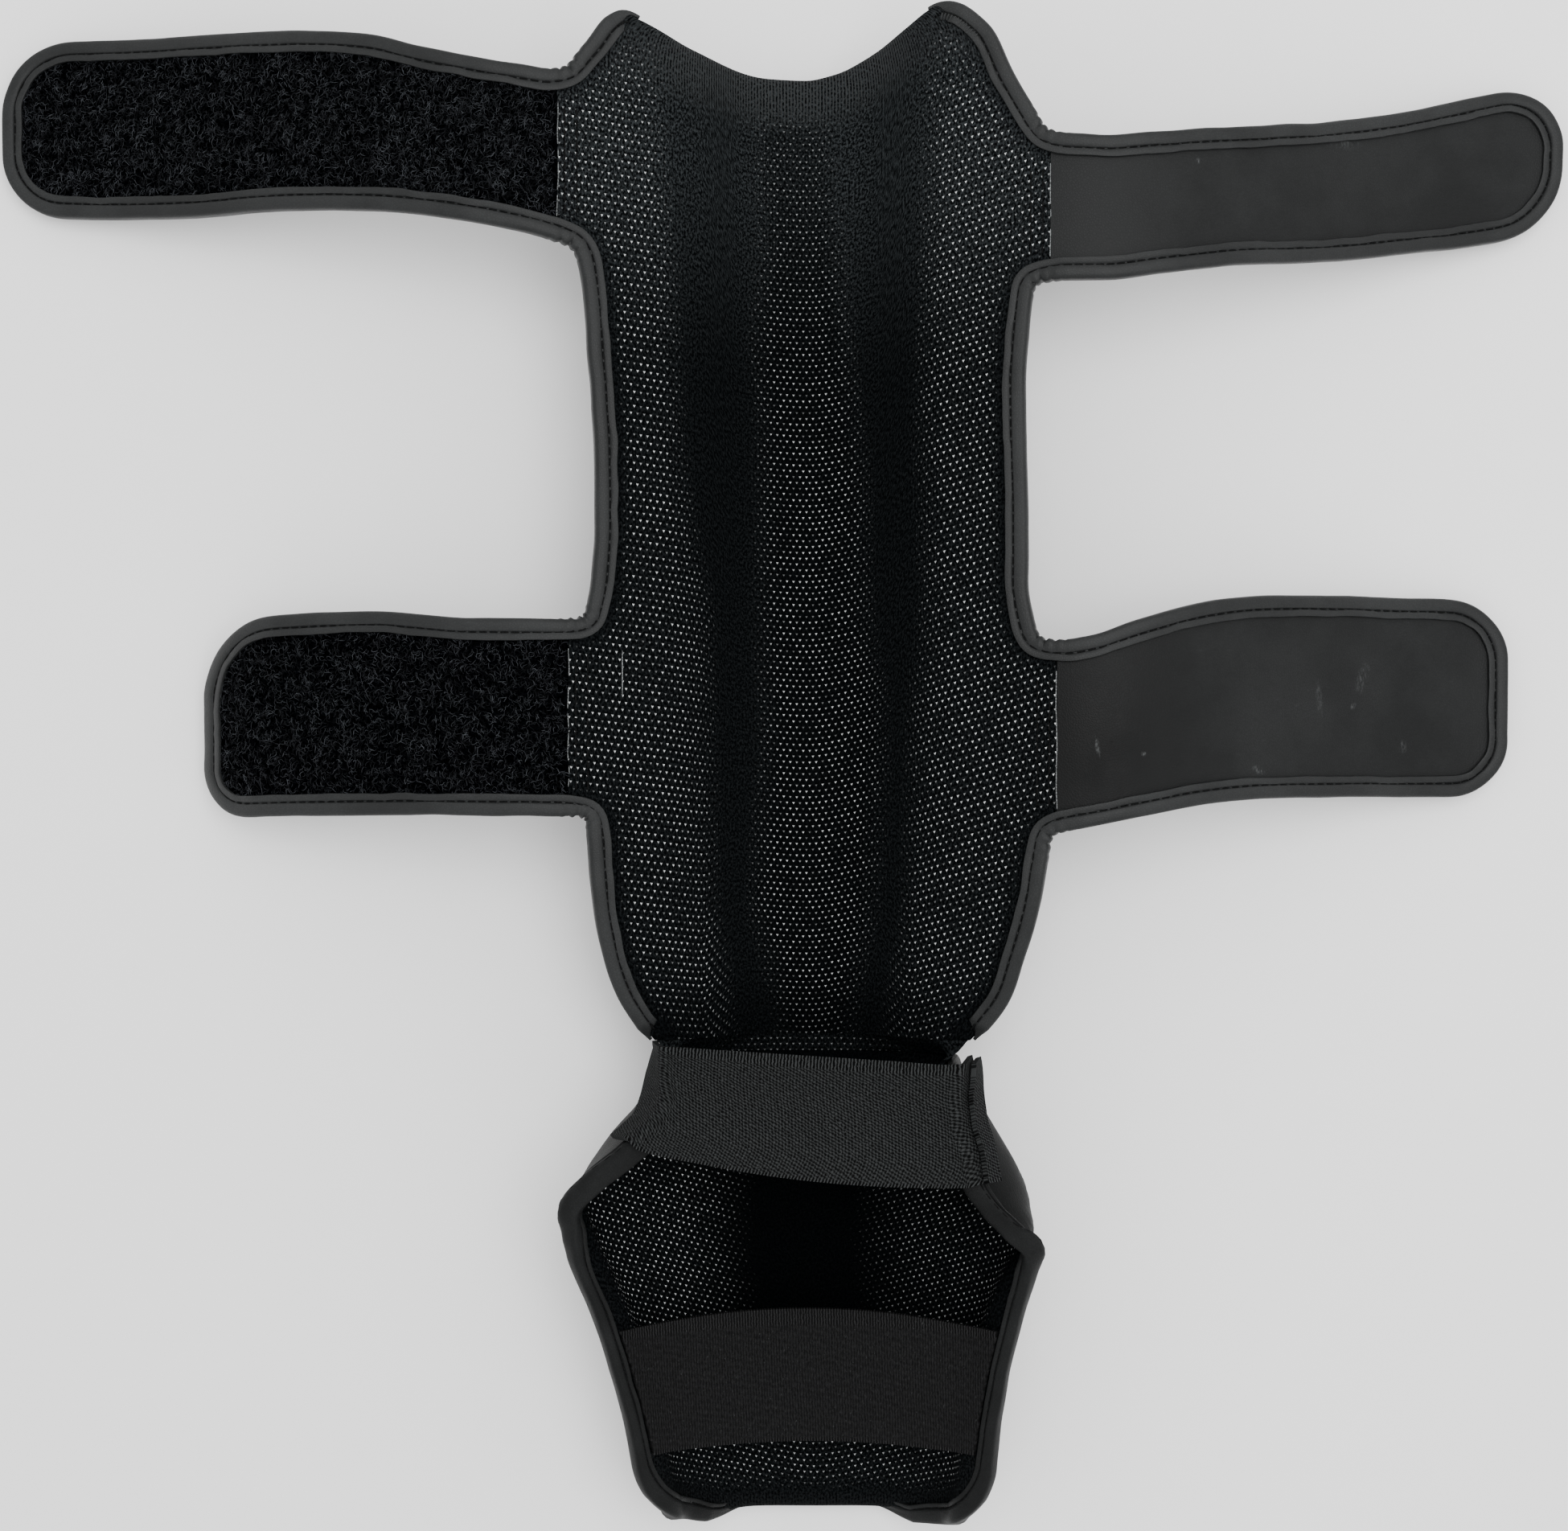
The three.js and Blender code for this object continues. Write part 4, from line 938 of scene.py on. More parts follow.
def stitch_row(route, surface, turn, far, height, short=STITCH["pitch"]):
    every = np.arange(STITCH["pitch"], (len(route) - 1) * TAPE_STEP - short, STITCH["pitch"])
    return capsule_row(route, surface, turn, every, far, height, STITCH)


# One piece from rows of capsules.
def sew(name, rows, look):
    points = np.concatenate(rows)
    rings = len(STITCH_RINGS["along"])
    faces = repeat_faces(tube_faces(rings, STITCH_SIDES), len(points), rings * STITCH_SIDES)
    return build(name, points, faces, look)


# Dense route round one strap, and the routes of the tapes

CORNER_STEPS = 14
STATION_GAP = 1.8
ROUTE_GAP = 1.2


def strap_stations(strap, start):
    corner = max(strap["round"])
    straight = strap["tip"] - corner
    turn = np.linspace(0, np.pi / 2, CORNER_STEPS)[1:]
    along = np.linspace(start, straight, int((straight - start) / STATION_GAP))
    return np.concatenate([along, straight + corner * np.sin(turn)])


def strap_route(strap):
    out = strap_stations(strap, strap["seam"] + SEAT + FILLET)
    bottom, top = strap_edges(strap, out)
    there = np.stack([strap["side"] * out, bottom], -1)
    back = np.stack([strap["side"] * out, top], -1)[::-1]
    return np.concatenate([there, back])


def side_route(side, start, end):
    y = np.linspace(start, end, int((end - start) / ROUTE_GAP) + 2)
    return np.stack([side * half_width(side, y), y], -1)


TAPE_ENDS = {
    "left": {"side": -1, "ankle": (-81.4, -14), "calf": (42, 153), "knee": (201.8, 216), "corner": 0.86},
    "right": {"side": 1, "ankle": (-81.4, -19), "calf": (36, 142), "knee": (184, 214.5), "corner": 0.74},
}


def shin_route(name):
    ends = TAPE_ENDS[name]
    side = ends["side"]
    across = np.linspace(1, ends["corner"], CORNER_STEPS)[1:]
    y = knee_edge(side * across)
    corner = np.stack([side * across * half_width(side, y), y], -1)
    route = np.concatenate([
        side_route(side, *ends["ankle"]), strap_route(STRAPS["lower_" + name]),
        side_route(side, *ends["calf"]), strap_route(STRAPS["upper_" + name]),
        side_route(side, *ends["knee"]), corner,
    ])
    return smooth_route(route, TAPE_STEP, TAPE_ROUND)


def cup_spot(share, across):
    y = lerp(CUP_START, toe_edge(np.asarray(across * rim_at(TOE["edge"]))), share)
    return np.stack([across * rim_at(y), y], -1)


CUP_TAPE_END = {-1: 0.3, 1: 0.24}
CUP_TAPE_START = 0.012
CUP_ROUTE_STEPS = {"down": 120, "turn": 60}


def cup_route(side):
    down = cup_spot(np.linspace(CUP_TAPE_START, 1, CUP_ROUTE_STEPS["down"]), side)
    turn = cup_spot(1, side * np.linspace(1, CUP_TAPE_END[side], CUP_ROUTE_STEPS["turn"]))
    return smooth_route(np.concatenate([down, turn]), TAPE_STEP, TAPE_ROUND)


# Shin pad

PAD_COLUMNS = 101
ROW_GAP = 2.0
KNEE_ROWS = 16


def shin_grid():
    across = np.linspace(-1, 1, PAD_COLUMNS)
    levels = np.stack([SHIN_ROWS["left"], SHIN_ROWS["right"]], -1)
    rows = [levels[:1]]
    for before, after in zip(levels[:-1], levels[1:]):
        count = max(1, int(np.ceil(np.abs(after - before).max() / ROW_GAP)))
        rows.append(before + (after - before) * (np.arange(1, count + 1) / count)[:, None])
    levels = np.concatenate(rows)
    y = lerp(levels[:, :1], levels[:, 1:], (across + 1) / 2)
    share = np.sin(np.linspace(0, np.pi / 2, KNEE_ROWS + 1))[1:, None]
    y = np.concatenate([y, lerp(y[-1], knee_edge(across), share)])
    return across * half_width(np.broadcast_to(across, y.shape), y), y


shin_x, shin_y = shin_grid()
routes = {name: shin_route(name) for name in TAPE_ENDS}


def nearest(points, route):
    away = np.full(points.shape[:-1], np.inf)
    for spot in route[::2]:
        away = np.minimum(away, np.hypot(points[..., 0] - spot[0], points[..., 1] - spot[1]))
    return away


# Where the lining's holes and knit fade into painted shade: along the shin, in from an edge, or either side
# of a limit
FADE = {
    "side": (-5.5, 5.5), "bound": (6, 9), "rolled": (9, 24), "ribs": (7, 20), "ankle": (2, 22),
    "middle": (90, 190), "ears": (186, 214), "calf": (110, 185), "knee": (135, 205),
}
HOLE_SHARE = {"wing": 0.82, "middle": 0.72, "ankle": 0.35, "knee": 0.4, "ears": 0.25}
# Painted shade on the lining: shares of lit knit on the trough's walls, its middle, the wings, the calf and
# the ankle; and the ribs by the knee, which are the knit's own
SHADE_AND_RIB_SHARE = {
    "wall": 0.95, "middle": 0.32, "knee_middle": 0.6, "wing": 0.92, "calf": 0.3, "ankle": 0.5,
    "ribs": 0.9, "side_ribs": 0.35,
}


def fade(name, value):
    return smoothstep(value, *FADE[name])


# Share of the lining's holes that shows, and share of its lit knit against painted shade; the ribs by the
# knee are the knit's own.
def lining_marks(x, y):
    limit = {name: read(HOLES, "y", name, y) for name in ("left", "start", "stop", "right")}
    wings = fade("side", limit["left"] - x) + fade("side", x - limit["right"])
    middle = fade("side", x - limit["start"]) * fade("side", limit["stop"] - x)
    bound = np.minimum(*(nearest(np.stack([x, y], -1), route) for route in routes.values()))
    kneeward = to_knee(x, y)
    rolled = lerp(1, fade("rolled", kneeward), roll_share(x))
    ankleward = lerp(HOLE_SHARE["ankle"], 1, fade("ankle", y - ANKLE_EDGE))
    outer = HOLE_SHARE["wing"] * wings * lerp(1, HOLE_SHARE["ears"], fade("ears", y))
    inner = HOLE_SHARE["middle"] * middle * lerp(1, HOLE_SHARE["knee"], fade("middle", y))
    holes = (outer + inner) * fade("bound", bound) * rolled * ankleward
    ribs = (1 - fade("ribs", kneeward)) * lerp(SHADE_AND_RIB_SHARE["side_ribs"], 1, roll_share(x))
    knee = fade("knee", y)
    base = lerp(SHADE_AND_RIB_SHARE["wall"], 1, knee)
    base = base * lerp(1, lerp(SHADE_AND_RIB_SHARE["middle"], SHADE_AND_RIB_SHARE["knee_middle"], knee), middle)
    light = (base + (SHADE_AND_RIB_SHARE["wing"] - base) * wings) * lerp(SHADE_AND_RIB_SHARE["calf"], 1, fade("calf", y))
    light = np.clip(light + SHADE_AND_RIB_SHARE["ribs"] * ribs, 0, 1) * lerp(SHADE_AND_RIB_SHARE["ankle"], 1, ankleward)
    return {"holes": holes, "shade": light, "ribs": ribs}


HOLE_GAP = {"across": 1.96, "middle": 1.76, "wing": 2.08, "from": 20, "to": 32}
ROW_TILT = {"left": 0.13, "right": 0.3, "flat": 9}


# Rise of a row of holes at a distance across the cloth, rounded in the middle.
def row_bow(across, tilt, flat):
    return tilt * (np.sqrt(across * across + flat ** 2) - flat)


def lining_uv(grid, x, y):
    u, _ = cloth_lengths(grid)
    tilt = np.where(u < 0, ROW_TILT["left"], ROW_TILT["right"])
    bow = row_bow(u, tilt, ROW_TILT["flat"])
    outer = smoothstep(np.abs(x), HOLE_GAP["from"], HOLE_GAP["to"])
    gap = lerp(HOLE_GAP["middle"], HOLE_GAP["wing"], outer)
    return np.stack([u / HOLE_GAP["across"], (y - bow) / gap], -1)


shin_top = lift(leg_side, shin_x, shin_y, 0)
shin_lining = slab(
    "lining_cloth", shin_top, lift(leg_side, shin_x, shin_y, -LINING), MESH,
    lining_uv(shin_top, shin_x, shin_y), lining_marks(shin_x, shin_y),
)
stand_in("shin_lining")

sparse = np.ix_(coarse(shin_x.shape[0]), coarse(shin_x.shape[1]))
x, y = shin_x[sparse], shin_y[sparse]
shin_front = lift(leg_side, x, y, -FLANGE)
shin_front[..., 2] -= START * padding(x, y)
pad("shin_padding", "shin_shell", lift(leg_side, x, y, -LINING - SEAT), shin_front, LEATHER, 0.8)


# Straps

STRAP_COLUMNS = 29
SEAM_LAP = 0.18  # from the seam back to the strap's end, just short of the lining's edge


def strap_grid(strap):
    out = strap_stations(strap, strap["seam"] - SEAM_LAP)
    bottom, top = strap_edges(strap, out)
    y = lerp(bottom[:, None], top[:, None], np.linspace(0, 1, STRAP_COLUMNS))
    return np.broadcast_to(strap["side"] * out[:, None], y.shape), y


def strap_layer(name, strap, upper, lower, look):
    x, y = strap_grid(strap)
    return slab(name, lift(leg_side, x, y, -upper), lift(leg_side, x, y, -lower), look)


FIBRE = {
    "per_mm2": 1.2, "inset": 3.6, "seam": 1, "step": 0.58, "run": (0.6, 1.25), "radius": 0.085,
    "low": 0.15, "high": 0.95, "flattest": 0.15, "spread": 0.38, "curl": 0.5, "kink": 0.45,
    "tones": (0.6, 1.7),
}
FIBRE_TAPER = np.array([0.6, 1, 1, 1, 0.5])
FIBRE_SIDES = 3


# Curly fibres that stand on a strap's face.
def pile(name, strap):
    x, y = strap_grid(strap)
    inset = FIBRE["inset"]
    area = (strap["tip"] - strap["seam"]) * (y.max() - y.min())
    count = int(area * FIBRE["per_mm2"])
    out = scatter.uniform(strap["seam"] + FIBRE["seam"], strap["tip"] - inset, count)
    bottom, top = strap_edges(strap, out)
    across = lerp(bottom + inset, top - inset, scatter.uniform(0, 1, count))
    heading = np.where(scatter.uniform(0, 1, (count, 1)) < 0.5, 0.5, -0.5) * np.pi
    heading = heading + scatter.normal(0, FIBRE["spread"], (count, 1))
    curl = scatter.normal(0, FIBRE["curl"], (count, 1))
    steps = np.arange(len(FIBRE_TAPER))
    angle = heading + curl * steps + scatter.normal(0, FIBRE["kink"], (count, len(steps)))
    run = FIBRE["step"] * scatter.uniform(*FIBRE["run"], (count, 1))
    px = strap["side"] * out[:, None] + np.cumsum(run * np.cos(angle), axis=1)
    py = across[:, None] + np.cumsum(run * np.sin(angle), axis=1)
    arch = np.sin(np.pi * (steps + 0.5) / len(steps))
    raised = arch * scatter.uniform(FIBRE["flattest"], 1, (count, 1))
    spine = lift(leg_side, px, py, lerp(FIBRE["low"], FIBRE["high"], raised))
    side = np.stack([-np.sin(angle), np.cos(angle), np.zeros_like(angle)], -1)
    turn = np.arange(FIBRE_SIDES) * 2 * np.pi / FIBRE_SIDES
    up = np.array([0, 0, 1.0])
    around = side[:, :, None] * np.cos(turn)[:, None] + up * np.sin(turn)[:, None]
    points = spine[:, :, None] + around * FIBRE_TAPER[:, None, None] * FIBRE["radius"]
    faces = repeat_faces(tube_faces(len(steps), FIBRE_SIDES), count, len(steps) * FIBRE_SIDES)
    tone = np.broadcast_to(scatter.beta(*FIBRE["tones"], (count, 1, 1)), points.shape[:3])
    return build(name, points, faces, FIBRES, None, {"tone": tone})


for name, strap in STRAPS.items():
    if strap["side"] < 0:
        backing = strap_layer("backing_" + name, strap, LINING + SEAT, FLANGE, LEATHER)
        face = strap_layer("pile_" + name, strap, 0, LINING, PILE)
        fibres = pile("fibres_" + name, strap)
        stand_in("loop_pile_" + name)
    else:
        backing = strap_layer("band_" + name, strap, 0, FLANGE, STRAP_LEATHER)
        ends = (lerp(strap["seam"], strap["tip"], HOOK[end]) for end in ("from", "to"))
        out = np.linspace(*ends, HOOK["rows"])
        bottom, top = (edge[:, None] for edge in strap_edges(strap, out))
        y = lerp(bottom + HOOK["inset"], top - HOOK["inset"], np.linspace(0, 1, HOOK["columns"]))
        x = np.broadcast_to(strap["side"] * out[:, None], y.shape)
        under = FLANGE + SEAT
        layers = (lift(leg_side, x, y, -depth) for depth in (under, under + HOOK["height"]))
        patch = slab("hooks_" + name, *layers, HOOKS)
        stand_in("hook_patch_" + name)
    stand_in("strap_" + name)

# Tapes and stitches of the shin pad

SEAM = {"rows": (2.4, 5.8), "short": 4, "height": 0.12}
TOE_FLARE = {"size": 0.75, "from": 205, "to": 219}
CUP_LIP = 0.64  # share of the tape's inward width that the cup's tapes have
CUT_THREAD = {
    "length": 2.3, "radius": 0.15, "pitch": 1.9, "kept": 0.8, "height": 0.1, "short": 5, "inward": 0.3,
    "swing": (6, 0.25),
}
LOOSE_THREAD = {"x": -54.2, "y": 27, "length": 13.6, "radius": 0.16, "height": 0.15}
CUP_FRONT = {"far": 0.2, "height": -5.3}
CUP_GATHER = {
    "length": 1.7, "radius": 0.4, "far": -2.1, "below": -200, "left_of": -51, "run": 9.0,
}
GATHER = {"length": 2.1, "radius": 0.42, "pitch": 1.15, "far": -3.3, "height": 1.05, "from": 19.0, "to": 5.0}
stitches = []
cut_edges = []
gathered = []
for name, ends in TAPE_ENDS.items():
    straps = [STRAPS[level + name] for level in ("lower_", "upper_")]
    corners = [
        (s["side"] * (s["seam"] - PLEAT["inward"]), s["edges"][edge][0] + away * PLEAT["past"])
        for s in straps for edge, away in (("bottom", -1), ("top", 1))
    ]
    turn = ends["side"]
    edging = tape("tape_shin_" + name, routes[name], leg_side, turn, corners, SHIN_END)
    stand_in("shin_binding_" + name)
    length = (len(routes[name]) - 1) * TAPE_STEP
    for height in (GROOVE["leg"], GROOVE["front"]):
        stitches.append(stitch_row(routes[name], leg_side, turn, GROOVE["far"], height))
    for strap in straps:
        bottom, top = (strap["edges"][edge][0] for edge in ("bottom", "top"))
        y = np.arange(bottom + SEAM["short"], top - SEAM["short"], TAPE_STEP)
        for inward in SEAM["rows"]:
            row = np.stack([np.full_like(y, strap["side"] * (strap["seam"] - inward)), y], -1)
            stitches.append(stitch_row(row, leg_side, turn, 0, SEAM["height"]))
        y = np.arange(bottom + CUT_THREAD["short"], top - CUT_THREAD["short"], TAPE_STEP)
        aside = strap["seam"] - CUT_THREAD["inward"] + wander(y - y[0], *CUT_THREAD["swing"])
        row = np.stack([strap["side"] * aside, y], -1)
        every = np.arange(1, len(row) - 2, CUT_THREAD["pitch"])
        every = every[scatter.uniform(0, 1, len(every)) < CUT_THREAD["kept"]]
        cut_edges.append(capsule_row(row, leg_side, turn, every, 0, CUT_THREAD["height"], CUT_THREAD))
    if turn > 0:
        every = np.arange(length - GATHER["from"], length - GATHER["to"], GATHER["pitch"])
        spots = (every, GATHER["far"], GATHER["height"])
        gathered.append(capsule_row(routes[name], leg_side, turn, *spots, GATHER, across=True))

thread_y = LOOSE_THREAD["y"] + np.arange(-2, 3) * TAPE_STEP
thread_row = np.stack([np.full_like(thread_y, LOOSE_THREAD["x"]), thread_y], -1)
halfway = np.array([2 * TAPE_STEP])
cut_edges.append(capsule_row(thread_row, leg_side, 1, halfway, 0, LOOSE_THREAD["height"], LOOSE_THREAD))

# Instep cup

CUP_COLUMNS = 81
CUP_ROWS = 84
TOE_ROWS = {"from": 0.93, "count": 10}
toe_share = lerp(TOE_ROWS["from"], 1, np.sin(np.linspace(0, np.pi / 2, TOE_ROWS["count"])))
cup_share = np.concatenate([np.linspace(0, TOE_ROWS["from"], CUP_ROWS)[:-1], toe_share])
cup_across = np.linspace(-1, 1, CUP_COLUMNS)
cup_q, cup_y = np.moveaxis(cup_spot(*np.meshgrid(cup_share, cup_across, indexing="ij")), -1, 0)
cup_top = lift(cup_side, cup_q, cup_y, 0)
rim_gap = rim_at(cup_y) - np.abs(cup_q)
toe_gap = cup_y - toe_edge(cup_q)
# Where the cup's holes and knit fade into painted shade: from its middle, rims, toe and ankle edges and from
# the foot band
CUP_FADE = {
    "out": (14, 40), "rim": (8, 13), "toe": (6, 14), "ankle": (4, 12), "foot": (-12, -4), "ribs": (2, 8),
}
# Painted light and shade on the cup's lining: its left slope lit more than its right, and its deep middle,
# rims and floor under the foot band darker; the ribs by the toe are the knit's own
CUP_LIT = {"left": 0.9, "right": 0.5, "foot": 0.6}
CUP_SHADE_AND_RIBS = {"deep": 0.06, "lit": 0.2, "foot": 0.3, "ribs": 0.5}
CUP_TILT = {"slope": 0.34, "flat": 12}
below_foot = smoothstep(FOOT_BAND["bottom"] - cup_y, *CUP_FADE["foot"])
lit = np.where(cup_q < 0, CUP_LIT["left"], CUP_LIT["right"]) * smoothstep(np.abs(cup_q), *CUP_FADE["out"])
cup_shown = lerp(lit, CUP_LIT["foot"], below_foot)
for gap, edge in ((rim_gap, "rim"), (toe_gap, "toe"), (CUP_START - cup_y, "ankle")):
    cup_shown = cup_shown * smoothstep(gap, *CUP_FADE[edge])
cup_marks = {
    "holes": cup_shown,
    "shade": lerp(CUP_SHADE_AND_RIBS["deep"] + CUP_SHADE_AND_RIBS["lit"] * lit, CUP_SHADE_AND_RIBS["foot"], below_foot),
    "ribs": CUP_SHADE_AND_RIBS["ribs"] * (1 - smoothstep(toe_gap, *CUP_FADE["ribs"])),
}
cup_bow = row_bow(cup_q, CUP_TILT["slope"], CUP_TILT["flat"])
cup_uv = np.stack([cup_q / HOLE_GAP["across"], (cup_y - cup_bow) / HOLE_GAP["middle"]], -1)
cup_under = lift(cup_side, cup_q, cup_y, -LINING)
instep_lining = slab("lining_instep", cup_top, cup_under, MESH, cup_uv, cup_marks)
stand_in("instep_lining")

sparse = np.ix_(coarse(cup_q.shape[0]), coarse(cup_q.shape[1]))
q, y = cup_q[sparse], cup_y[sparse]
cup_front = lift(cup_side, q, y, -lerp(FLANGE, cup_thickness(q, y), START))
pad("instep_padding", "instep_shell", lift(cup_side, q, y, -LINING - SEAT), cup_front, PAINTED_SHADE_INSTEP_LEATHER, 0.7)

for name, side in (("left", -1), ("right", 1)):
    route = cup_route(side)
    flare = TOE_FLARE["size"] * smoothstep(-route[:, 1], TOE_FLARE["from"], TOE_FLARE["to"])
    rim = tape("tape_instep_" + name, route, cup_side, -side, [], CUP_END, CUP_LIP, flare, RIM_BINDING)
    stand_in("instep_binding_" + name)
    length = (len(route) - 1) * TAPE_STEP
    for far, height in ((CUP_LIP * GROOVE["far"], GROOVE["leg"]), (CUP_FRONT["far"], CUP_FRONT["height"])):
        stitches.append(stitch_row(route, cup_side, -side, far, height, CUP_END["length"]))
    if side < 0:
        turned = np.flatnonzero((route[:, 1] < CUP_GATHER["below"]) & (route[:, 0] > CUP_GATHER["left_of"]))
        every = turned[0] * TAPE_STEP + np.arange(0, CUP_GATHER["run"], GATHER["pitch"])
        spots = (every, CUP_GATHER["far"], GATHER["height"])
        gathered.append(capsule_row(route, cup_side, -side, *spots, CUP_GATHER, across=True))

# Elastic bands

BAND_LINES = 25
BAND_STEPS = {"ankle": 150, "tab": 20, "foot": 110}
TAB_INSET = (0.5, 1)  # in from the ankle band's lower and upper edge to the tab's


# Band of elastic through one line of key points for each place across it, thickened upwards.
def band(name, line, count, look):
    lines = np.stack([spline(line(share), count) for share in np.linspace(0, 1, BAND_LINES)], 1)
    normal = unit(np.cross(np.gradient(lines, axis=0), np.gradient(lines, axis=1)))
    u, v = cloth_lengths(lines.swapaxes(0, 1))
    uv = np.stack([u.T, v.T], -1)
    return slab(name, lines + normal * WEBBING, lines, look, uv)


# Key points between two ends, bowed most in the middle.
def bridge(start, stop, bow, count):
    parts = np.linspace(0, 1, count + 2)[1:-1]
    return [lerp(start, stop, part) + 4 * part * (1 - part) * np.array(bow) for part in parts]


def ankle_line(share):
    left = lerp(*ANKLE_BAND["left"], share)
    right = lerp(*ANKLE_BAND["right"], share)
    end = lerp(ANKLE_WRAP["low"], ANKLE_WRAP["high"], share)

    def over(side, y):
        return [lift(cup_side, side * (rim_at(y) + beyond), y, -depth) for beyond, depth in ANKLE_OVER]

    left_wrap = [outside_cup(-1, inward, left, SEAT) for inward in np.linspace(end, ANKLE_WRAP["top"], 3)]
    last = lerp(*TAB["from"], share)
    right_wrap = [
        outside_cup(1, inward, right, 2 * SEAT) for inward in np.linspace(ANKLE_WRAP["top"], last, 3)
    ]
    start = over(-1, left)
    stop = over(1, right)[::-1]
    between = bridge(start[-1], stop[0], (0, (share - 1) * ANKLE_BAND["bow"], 0), 4)
    return left_wrap + start + between + stop + right_wrap


def tab_line(share):
    y = lerp(*(edge - inset for edge, inset in zip(ANKLE_BAND["right"], TAB_INSET)), share)
    clearance = WEBBING + 4 * SEAT
    ends = [lerp(*TAB[end], share) for end in ("to", "from")]
    return [outside_cup(1, inward, y, clearance) for inward in np.linspace(*ends, 4)]


def foot_line(share):
    level = lerp(FOOT_BAND["bottom"], FOOT_BAND["top"], share)

    def wall_point(side, spot):
        return lift(cup_side, side * (rim_at(level) - spot[0]), level, spot[1])

    start = wall_point(-1, FOOT_TURN)
    stop = wall_point(1, FOOT_TURN)
    arch = lerp(FOOT_BAND["bottom_arch"], FOOT_BAND["top_arch"], share)
    between = bridge(start, stop, (0, arch, -FOOT_BAND["sag"]), 3)
    return [wall_point(-1, FOOT_END), start, *between, stop, wall_point(1, FOOT_END)]


ankle_elastic = band("elastic_ankle", ankle_line, BAND_STEPS["ankle"], ANKLE_WEAVE)
ankle_tab = band("elastic_tab", tab_line, BAND_STEPS["tab"], ANKLE_WEAVE)
foot_elastic = band("elastic_foot", foot_line, BAND_STEPS["foot"], FOOT_WEAVE)
bands = {"ankle_elastic": ankle_elastic, "ankle_elastic_tab": ankle_tab, "foot_elastic": foot_elastic}
for node, piece in bands.items():
    stand_in(node)

# Ankle gusset

GUSSET_END = 0.985
GUSSET_GAP = 0.1
GUSSET_DEPTH = 0.3
LUMP = {"from": 0.74, "to": 0.9, "height": 3.4}
GUSSET_STEPS = {"across": 121, "along": 11}
GUSSET_FOLDS = {"coarse": 21, "fine": 34, "shift": 1, "height": 0.25}
gusset_across = np.linspace(-GUSSET_END, GUSSET_END, GUSSET_STEPS["across"])
gusset_share = np.linspace(0, 1, GUSSET_STEPS["along"])[:, None]


def gusset_points(depth):
    across = gusset_across
    half = half_width(across, np.full_like(across, ANKLE_EDGE))
    shin_end = lift(leg_side, across * half, np.full_like(across, ANKLE_EDGE - GUSSET_GAP), -depth)
    cup_end = lift(cup_side, across * rim_at(CUP_START), np.full_like(across, CUP_START + GUSSET_GAP), -depth)
    points = lerp(cup_end, shin_end, gusset_share[..., None])
    fine = np.sin(across * GUSSET_FOLDS["fine"])
    folds = (fine + np.sin(across * GUSSET_FOLDS["coarse"] + GUSSET_FOLDS["shift"])) * GUSSET_FOLDS["height"]
    lumps = LUMP["height"] * smoothstep(np.abs(across), LUMP["from"], LUMP["to"])
    points[..., 2] += np.sin(np.pi * gusset_share) * (folds + lumps)
    return points


gusset_top = gusset_points(GUSSET_DEPTH)
gusset_uv = np.stack([gusset_top[..., 0] / HOLE_GAP["across"], gusset_top[..., 1] / HOLE_GAP["middle"]], -1)
GUSSET_HOLES = {"share": 0.2, "from": 0.2, "to": 0.6}
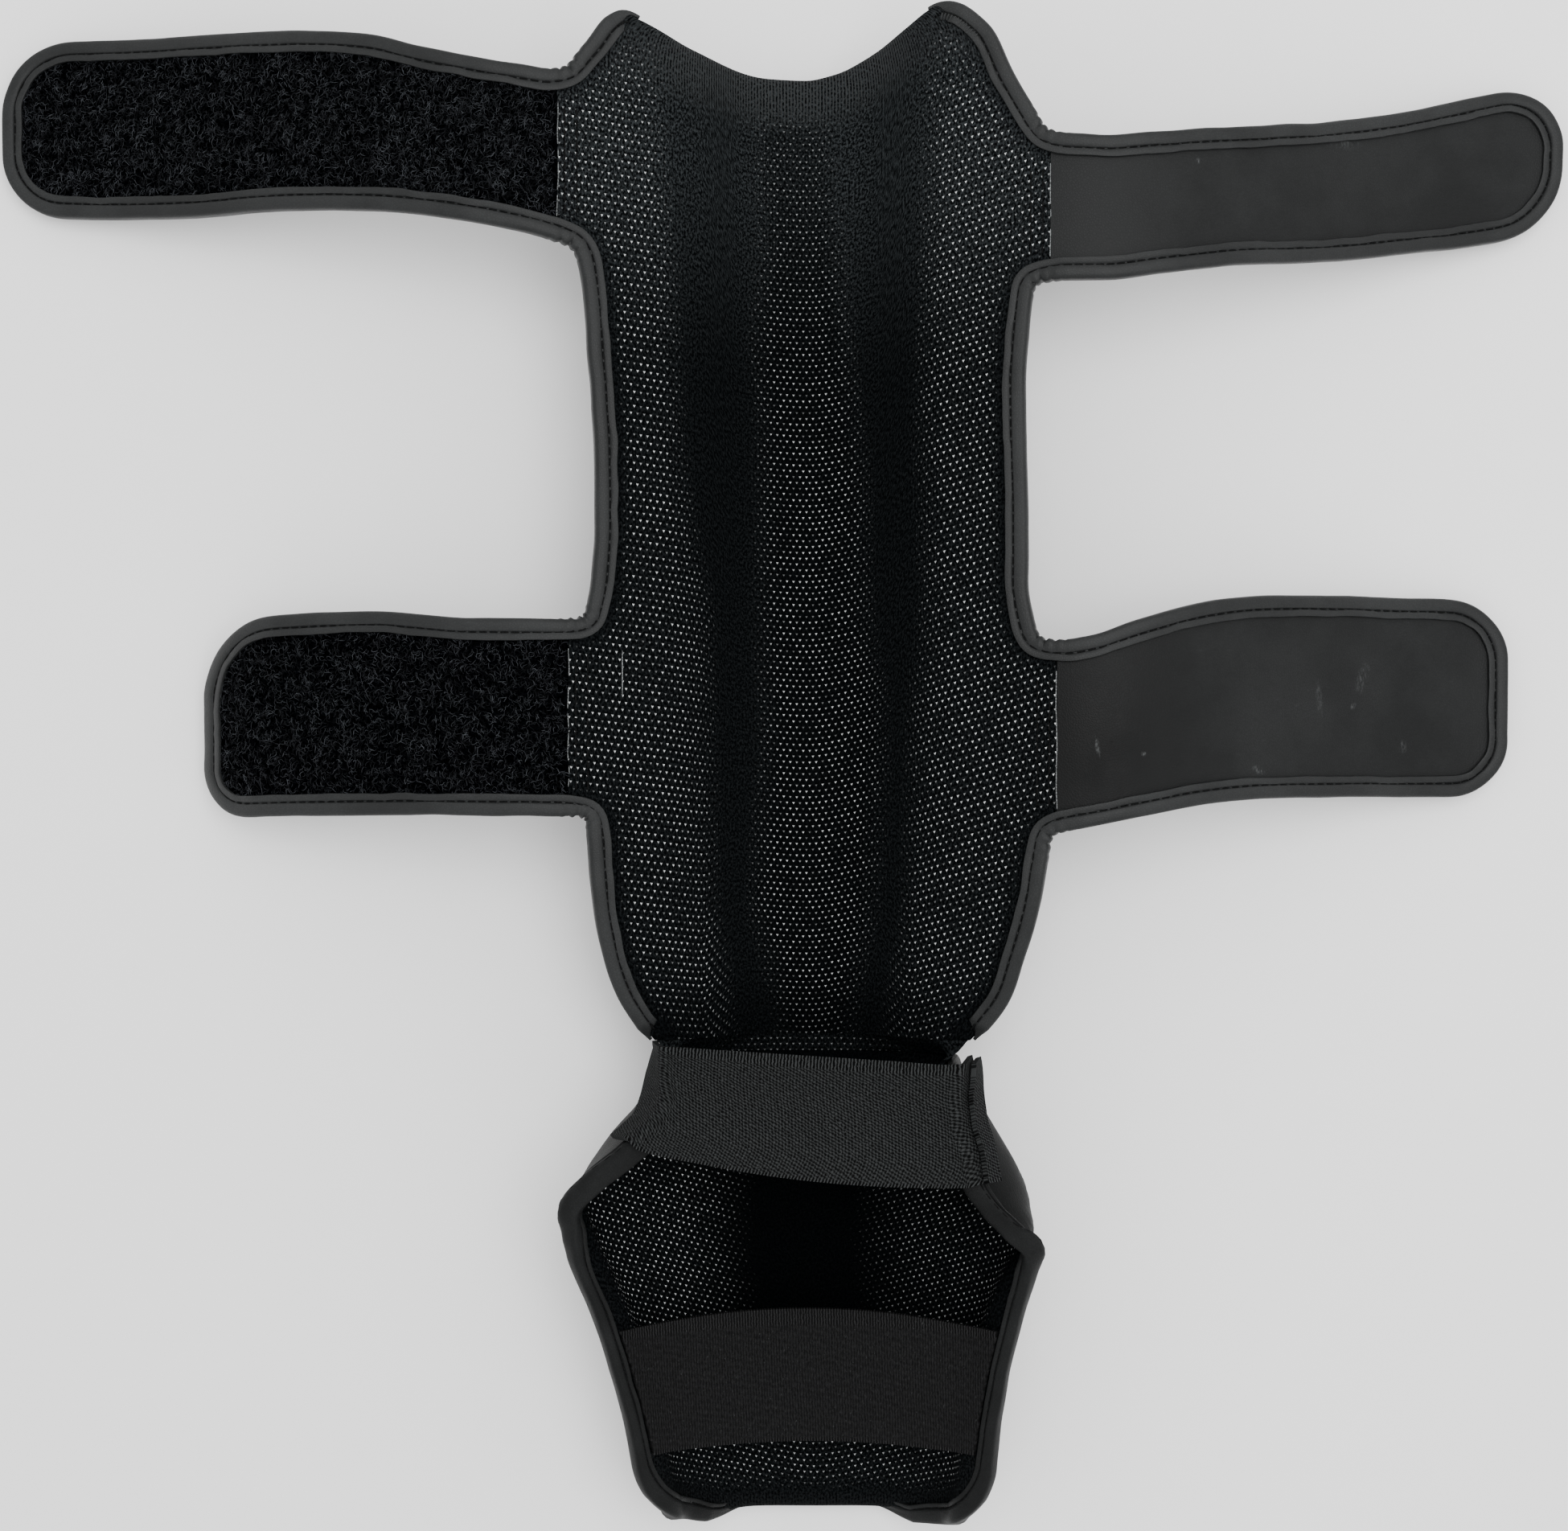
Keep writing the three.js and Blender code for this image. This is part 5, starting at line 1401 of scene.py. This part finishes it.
# Painted shade over the gusset's middle, and painted light on its lumps
GUSSET_LIGHT_AND_SHADE = {"middle": 0.25, "lump": 0.5}
plain = np.ones(gusset_top.shape[:2])
out = np.abs(gusset_across)
shown = GUSSET_HOLES["share"] * (1 - smoothstep(out, GUSSET_HOLES["from"], GUSSET_HOLES["to"]))
shade = GUSSET_LIGHT_AND_SHADE["middle"] + GUSSET_LIGHT_AND_SHADE["lump"] * smoothstep(out, LUMP["from"], LUMP["to"])
gusset_marks = {"holes": shown * plain, "shade": shade * plain, "ribs": 0 * plain}
gusset_under = gusset_points(GUSSET_DEPTH + WEBBING)
gusset = slab("gusset_cloth", gusset_top, gusset_under, MESH, gusset_uv, gusset_marks)
stand_in("ankle_gusset")

# Stitches, frayed edges and gathered ribs

sewing = sew("stitches", stitches, THREAD)
frayed = sew("cut_edges", cut_edges, CUT_EDGE)
gathers = sew("gathers", gathered, BINDING)

# Stage, camera and light

FLOOR = {"half": 3.0, "drop": 0.0004}
CAMERA = {"place": (-0.0068, 0, 0.8), "lens": 58.92, "sensor": 36}
SKY = 1.5
OVERHEAD = {"place": (0.35, 0.3, 1.5), "aim": (0, 0, 0), "size": (1.2, 0.9), "power": 20}
corners = [(x * FLOOR["half"], y * FLOOR["half"], 0) for x, y in ((-1, -1), (1, -1), (1, 1), (-1, 1))]
mesh = bpy.data.meshes.new("floor")
mesh.from_pydata(corners, [], [(0, 1, 2, 3)])
mesh.materials.append(floor_look())
floor = bpy.data.objects.new("floor", mesh)
scene.collection.objects.link(floor)
floor.location.z = -FLOOR["drop"]

camera = bpy.data.objects.new("camera", bpy.data.cameras.new("camera"))
camera.data.sensor_fit = "HORIZONTAL"
camera.data.sensor_width = CAMERA["sensor"]
camera.data.lens = CAMERA["lens"]
camera.location = CAMERA["place"]
scene.collection.objects.link(camera)
scene.camera = camera

world = bpy.data.worlds.new("studio")
world.use_nodes = True
sky = world.node_tree.nodes["Background"].inputs
sky["Color"].default_value = (1, 1, 1, 1)
sky["Strength"].default_value = SKY
scene.world = world


def area_light(name, place, aim, size, power):
    light = bpy.data.objects.new(name, bpy.data.lights.new(name, "AREA"))
    light.data.shape = "RECTANGLE"
    light.data.size, light.data.size_y = size
    light.data.energy = power
    light.location = place
    scene.collection.objects.link(light)
    direction = np.array(aim) - np.array(place)
    light.rotation_euler = (
        np.arctan2(np.hypot(direction[0], direction[1]), -direction[2]), 0,
        np.arctan2(direction[0], -direction[1]),
    )


area_light("overhead", **OVERHEAD)
